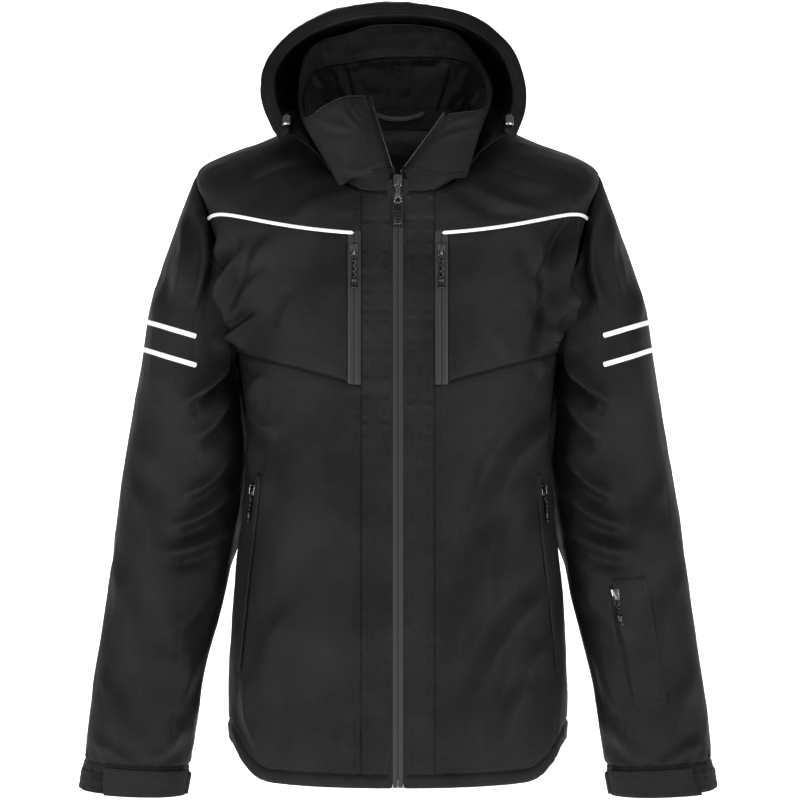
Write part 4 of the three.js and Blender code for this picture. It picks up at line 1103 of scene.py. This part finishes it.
def pleat_sway(points, normals):
    """The lining's soft pleats inside the collar."""
    turn = np.arctan2(points[..., 0], -points[..., 1])
    pleat = np.stack([turn * 6, points[..., 2] / 45, np.zeros(turn.shape)], axis=-1)
    return 1.2 * hang(points, 77) - 5.0 * np.abs(noise(pleat, 1, 79)) + 2.2


COLLAR_FOLDS = [
    (-52, 0, -38, -22, 2.2, 3), (-46, 2, -34, -18, 2.0, 2.5), (-62, -2, -44, -28, 1.6, 4),
    (-90, -16, -52, -30, 1.5, 5), (92, -12, 40, -40, 2.0, 5), (84, -30, 30, -56, 1.5, 5),
    (-60, -76, -20, -70, 1.2, 5),
]


def hood_lining_sway(points, normals):
    crinkle = noise(points, (26, 12, 26), 83)
    return 1.2 * hang(points, 85) + 2.4 * crinkle * np.abs(crinkle)


def hood_edge(t):
    """The rim with its direction into the opening and the way it faces."""
    rim = part_way(HOOD_RIM, t)
    along = unit(np.gradient(rim, axis=0))
    out = unit(np.cross(along, unit(stack(-along[:, 2], 0, along[:, 0]) + (0, 0.35, 0))))
    out = np.where(out[:, 1:2] > 0, -out, out)
    return rim, unit(np.cross(out, along)), out


def make_hood():
    """The hood, its lining, its brim with rows of stitches, and the band it is sewn to."""
    t, s = np.meshgrid(np.linspace(0.0, 1.0, 210), spaced(260, 1.4, 3.2, 16))
    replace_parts(sewn("hood_cloth", hood, t, s, SHELL, "hood", lift=0.4, thick=2.2,
                     sway=loose(1.3, 81), pucker=0.8, seed=45, seams=(0, 1, 1, 1)), "hood_shell")
    t, s = np.meshgrid(np.linspace(0.004, 0.996, 190), np.linspace(0.03, 0.95, 100))
    sewn("hood_lining_cloth", hood, t, s, LINING, "hood", flip=True, lift=4.2, thick=1.2,
         sway=hood_lining_sway, pucker=0.8, seed=46, slot="lining", tuck=1.5)
    rim, inward, out = hood_edge(np.linspace(0, 1, 260))
    inward = np.where((inward * (rim - (0, 0, 30))).sum(axis=1, keepdims=True) > 0, -inward, inward)
    path = rim + inward * 6.6 - out * 1.0
    path = path + 0.5 * out * noise(path, 24, 87)[:, None]
    rolled("hood_brim_cloth", path, inward, out, 16.5, 6.5, SHELL, "hood", "shell", square=3.2,
           count=44, grooves=(-5, -1.8, 1.4, 4.6), taper=4)
    base = sewn("hood_base_cloth", hood_base, *np.meshgrid(np.linspace(0, 1, 200),
                np.linspace(0, 1, 18)), SHELL, "jacket", thick=2, pucker=0.6, seed=47, tuck=1.0,
                sway=loose(1.3, 81))
    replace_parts(base, "hood_base")
    share = np.linspace(0, 1, 200)
    line = part_way(HOOD_NECK, share) * (0.975, 0.975, 1) + (0, 0, 1.5)
    away = unit(line * (1, 1, 0) + (0, 10, 0))
    rolled("hood_seam_binding", line, away, stack(0 * share, 0, 1), 12, 7.0, SHELL, "jacket",
           "shell", square=3)


def make_collar_trims():
    """The binding that covers the neck seam inside, and the zip's teeth up both front edges."""
    t = np.linspace(0, 1, 200)
    line = neck_seam(t)
    away = unit(line * (1, 1, 0) + (0, 10, 0))
    rolled("neck_seam_binding", line - away * 6.5 + (0, 0, -2), stack(0 * t, 0, 1), -away, 22, 1.6,
           LINING, "jacket", "lining", square=3)
    for t_end, label in ((1.0, "left"), (0.0, "right")):
        s = np.linspace(0.04, 0.975, 120)
        t = np.full(s.shape, abs(t_end - 0.002))
        edge, normals = collar(t, s), normal_of(collar, t, s, True)
        along = unit(np.gradient(edge, axis=0))
        towards = unit(np.cross(along, normals)) * (1 if t_end else -1)
        towards = np.where((towards[:, :1] * (1 if t_end else -1)) > 0, -towards, towards)
        rolled("collar_zip_tape_" + label, edge + towards * 1.8 - normals * 3.4, towards, normals,
               6.5, 1.3, BACKING, "jacket", "zip_tape", square=3.4)
        rolled("collar_zip_coil_" + label, edge + towards * 5.6 - normals * 3.4, towards, normals,
               2.0, 2.2, TPU, "jacket", "zip_tape", square=2.0, count=12)


make_collar()
make_collar_trims()
make_hood()

# ---- pockets, loop and label --------------------------------------------------------------------
def make_hand_pockets():
    """A folded welt along each slanted hand pocket, its zip tape lying just behind."""
    share = np.linspace(0, 1, 160)
    theta, v = mix(64 * RAD, 68 * RAD, share), mix(2.93, 1.33, share)
    points, normals = body(theta, v), normal_of(body, theta, v)
    along = unit(np.gradient(points, axis=0))
    out = np.cross(normals, along)
    out = np.where(out[:, :1] > 0, out, -out)
    for side, label in SIDES:
        lift = body_sway(points * (side, 1, 1), normals)[:, None]
        rolled("hand_pocket_welt_" + label, points - out * 9.5 + normals * (lift + 0.6), out,
               normals, 12, 3.6, SHELL, "jacket", "shell", square=2.6, side=side)
        made = rolled("hand_zip_tape_" + label, points + out * 3.5 + normals * (0.3 * lift - 3.6),
                      out, normals, 10, 1.4, BACKING, "jacket", "zip_tape", square=3, side=side)
        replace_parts(made, "hand_zip_" + label)


def make_pass_pocket():
    """The small forearm pocket: a flat stitched panel whose front edge covers the zip."""
    sway = make_sleeve_sway(1)
    angle, s = np.meshgrid(mix(-18.5 * RAD, 12 * RAD, spaced(36, 1.0, 1.8, 6)),
                           mix(4.86, 6.36, spaced(128, 1.0, 2.6, 8)))
    s = s + 0.1 * (angle + 18.5 * RAD) * (5.6 - s)
    made = sewn("pass_pocket_panel", sleeve, angle, s, SHELL, "forearm_left", flip=True, lift=1.5,
                thick=1.6, tuck=1.4, pucker=0.35, seed=59, sway=sway, seams=(1, 1, 0, 1))
    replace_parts(made, "pass_pocket_welt")
    share = np.linspace(0, 1, 120)
    angle, s = np.full(share.shape, -19.8 * RAD), mix(4.95, 6.2, share)
    points, normals = sleeve(angle, s), normal_of(sleeve, angle, s, True)
    made = laid("pass_zip_tape", points, normals, sway(points, normals) + 0.4, 5.5, 1.6, BACKING,
                "forearm_left", "zip_tape", square=3)
    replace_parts(made, "pass_zip_left")


def make_loop_and_label():
    """The hanger loop and the plain label under it."""
    u = np.linspace(-1, 1, 80)
    path = stack(31 * u, LOOP_OFF + 13 * u ** 2, 9 * np.abs(u) ** 2.2)
    along = unit(np.gradient(path, axis=0))
    out = unit(np.cross(along, stack(0 * u, 0 * u, 1)))
    loop = rolled("hanger_loop_tape", path, np.cross(out, along), out, 5.2, 2.6, LOOP_TAPE,
                  "jacket", SLOT_OF["hanger_loop"], square=2.6)
    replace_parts(loop, "hanger_loop")
    theta, v = np.meshgrid(np.linspace(158 * RAD, 202 * RAD, 60), np.linspace(8.75, 9.35, 30))
    label = sewn("plain_neck_label", body, theta, v, SATIN, "jacket", flip=True, lift=14.5,
                 thick=0.7, tuck=0.8, pucker=0.15, seed=61, slot="label_satin")
    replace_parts(label, "neck_label")


SLOT_OF = {part["node"]: part["material_slot"] for part in frame["record"]["subparts"]}
make_hand_pockets()
make_pass_pocket()
make_loop_and_label()


# ---- zip sliders and pulls ----------------------------------------------------------------------
def choose(test):
    """Select in edit mode the points of the active mesh that pass the test."""
    bpy.ops.object.mode_set(mode="OBJECT")
    mesh = bpy.context.object.data
    for part in (*mesh.polygons, *mesh.edges):
        part.select = False
    for point in mesh.vertices:
        point.select = bool(test(point.co))
    bpy.ops.object.mode_set(mode="EDIT")


def settle(name, material, body_name, join, place):
    """Finish a hand-made piece: its parts joined, moved to its place, its curves smooth."""
    if bpy.context.object.mode == "EDIT":
        bpy.ops.object.mode_set(mode="OBJECT")
    made = bpy.context.object
    for part in join:
        part.select_set(True)
    made.select_set(True)
    bpy.context.view_layer.objects.active = made
    bpy.ops.object.transform_apply(location=True, rotation=True, scale=True)
    bpy.ops.object.join()
    made = bpy.context.object
    made.matrix_world = place
    bpy.ops.object.transform_apply(location=True, rotation=True, scale=True)
    bpy.ops.object.shade_smooth_by_angle(angle=40 * RAD)
    made.name = made.data.name = name
    made.data.materials.clear()
    made.data.materials.append(material)
    made.select_set(False)
    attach(made, body_name)
    return made


def block(place, size, bevel, waist=1.0):
    """A rounded block, narrower towards its foot when waist is under one."""
    bpy.ops.mesh.primitive_cube_add(size=1, location=place)
    bpy.ops.transform.resize(value=size)
    bpy.ops.object.transform_apply(location=False, rotation=False, scale=True)
    bpy.ops.object.mode_set(mode="EDIT")
    bpy.ops.mesh.select_all(action="SELECT")
    bpy.ops.mesh.bevel(offset=bevel, segments=3, affect="EDGES")
    if waist != 1:
        choose(lambda co: co.z < 0)
        bpy.ops.transform.resize(value=(waist, 1, 1))
    bpy.ops.object.mode_set(mode="OBJECT")
    made = bpy.context.object
    made.select_set(False)
    return made


JOINTS = {joint["name"]: joint for joint in frame["joints"]}


def at_pull(flip, run):
    """The place of a pull's hinge: x across its zip, y into the cloth and z up the zip."""
    right, up = -Vector(JOINTS[flip]["axis"]), -Vector(JOINTS[run]["axis"])
    turn = Matrix((right, up.cross(right), up)).transposed().to_4x4()
    return Matrix.Translation(JOINTS[flip]["pos_m"]) @ turn


def make_slider(name, node, body_name, place, scale=1.0):
    """Die-cast slider: its front plate, the web between the teeth, and the bridge over the pull."""
    parts = [block((0, 0.0023, 0), (0.0098 * scale, 0.0021, 0.0134), 0.0008, 0.74),
             block((0, 0.0045, 0), (0.0005, 0.0040, 0.0100), 0.0001),
             block((0, -0.0020, 0), (0.0024, 0.0012, 0.0106), 0.0005)]
    parts += [block((0, 0.0, way * 0.0046), (0.0024, 0.0046, 0.0014), 0.0005) for way in (1, -1)]
    bpy.context.view_layer.objects.active = parts[0]
    made = settle(name, ZINC, body_name, parts[1:], place)
    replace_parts(made, node)


def ring(place, major, minor, squeeze):
    bpy.ops.mesh.primitive_torus_add(location=place, rotation=(math.pi / 2, 0, 0),
                                     major_radius=major, minor_radius=minor,
                                     major_segments=28, minor_segments=10)
    bpy.ops.transform.resize(value=(1, 1, squeeze))
    made = bpy.context.object
    made.select_set(False)
    return made


def knob(place, radius, length):
    """A moulded pull end: a flattened, waisted barrel with a lip at each end."""
    bpy.ops.mesh.primitive_cylinder_add(vertices=24, radius=radius * 0.8, depth=length * 0.42,
                                        location=place)
    bpy.ops.object.mode_set(mode="EDIT")
    points = bpy.context.object.data.vertices
    for way in (1, -1):
        for step, grow in ((0.10, 1.30), (0.13, 1.0), (0.06, 0.72)):
            bpy.ops.object.mode_set(mode="OBJECT")
            end = max(way * point.co.z for point in points) - 1e-5
            choose(lambda co: way * co.z > end)
            bpy.ops.mesh.extrude_region_move(
                TRANSFORM_OT_translate={"value": (0, 0, way * step * length)})
            bpy.ops.transform.resize(value=(grow, grow, 1))
    bpy.ops.object.mode_set(mode="OBJECT")
    made = bpy.context.object
    bpy.ops.transform.resize(value=(1, 0.62, 1))
    soften = made.modifiers.new("soften", "BEVEL")
    soften.width, soften.segments = 0.0004, 2
    bpy.ops.object.modifier_apply(modifier="soften")
    made.select_set(False)
    return made


def make_cord_pull(name, node, body_name, place, length=0.022):
    """A ring, a stiff twisted loop of cord and a moulded end."""
    parts = [ring((0, 0, -0.00375), 0.0030, 0.0007, 1.25),
             ring((0, 0, -0.0098), 0.0024, 0.0009, 1.1)]
    steps = np.linspace(0, 1, 60)
    for strand in (0, math.pi):
        swing = 3.2 * math.pi * steps + strand
        path = np.stack([1.6 * np.sin(swing), LOOP_OFF - 0.8 * np.cos(swing),
                         -10.5 - 1000 * steps * length], axis=-1)
        along = unit(np.gradient(path, axis=0))
        out = unit(np.cross(along, stack(0 * steps + 1, 0, 0)))
        parts.append(rolled("strand", path, np.cross(out, along), out, 2.1, 2.1, TPU, None, None,
                            square=2, count=10, taper=1))
    end = knob((0, 0, -0.015 - length), 0.0036, 0.0115)
    bpy.context.view_layer.objects.active = end
    made = settle(name, TPU, body_name, parts, place)
    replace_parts(made, node)


def make_main_pull(place):
    """The front zip's pull: a metal tab that ends in an eye, and a long moulded grip."""
    tab = block((0, 0, -0.0125), (0.0062, 0.0018, 0.0130), 0.0007, 0.8)
    eye = ring((0, 0, -0.0215), 0.0036, 0.0010, 1.0)
    bolt = ring((0, 0, -0.0036), 0.0030, 0.0008, 1.2)
    bpy.context.view_layer.objects.active = tab
    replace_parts(settle("main_pull_metal_tab", ZINC, "main_puller", [eye, bolt],
                       place), "main_puller")
    grip = block((0, 0, -0.0380), (0.0082, 0.0034, 0.0225), 0.0014, 1.12)
    parts = [block((0, -0.0014, -0.0340 - 0.0034 * i), (0.0058, 0.0020, 0.0016), 0.0006)
             for i in range(4)]
    parts.append(ring((0, 0, -0.0262), 0.0026, 0.0011, 1.3))
    parts.append(knob((0, 0, -0.0495), 0.0042, 0.0060))
    bpy.context.view_layer.objects.active = grip
    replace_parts(settle("main_pull_grip", TPU, "main_puller", parts, place),
                "main_pull_tab")


front_zip = at_pull("main_puller_flip", "main_zip_run")
make_slider("main_zip_slider", "main_slider", "main_slider", front_zip, 1.1)
make_main_pull(front_zip)
for side_name in ("left", "right"):
    for zip_name, cord_length in (("chest", 0.022), ("hand", 0.016)):
        slider_name = zip_name + "_slider_" + side_name
        pull_name = zip_name + "_puller_" + side_name
        pull_place = at_pull(zip_name + "_puller_flip_" + side_name,
                             zip_name + "_zip_run_" + side_name)
        make_slider(zip_name + "_zip_slider_" + side_name, slider_name, slider_name, pull_place)
        make_cord_pull(zip_name + "_zip_pull_" + side_name, pull_name, pull_name, pull_place,
                       cord_length)
arm_zip = at_pull("pass_puller_flip", "pass_zip_run")
make_slider("pass_zip_slider", "pass_slider", "pass_slider", arm_zip)
make_cord_pull("pass_zip_pull", "pass_puller", "pass_puller", arm_zip, 0.014)

# ---- carried-over pieces get their real finishes ------------------------------------------------
FINISH = {"zip_tape": TAPE, "black_metal": ZINC, "moulded": TPU, "reflective_tape": WHITE,
          "loop_fleece": PILE, "label_satin": SATIN, "shell": SHELL, "lining": LINING}
for node_name, node_object in frame["nodes"].items():
    node_object.data.materials.clear()
    node_object.data.materials.append(FINISH[SLOT_OF[node_name]])
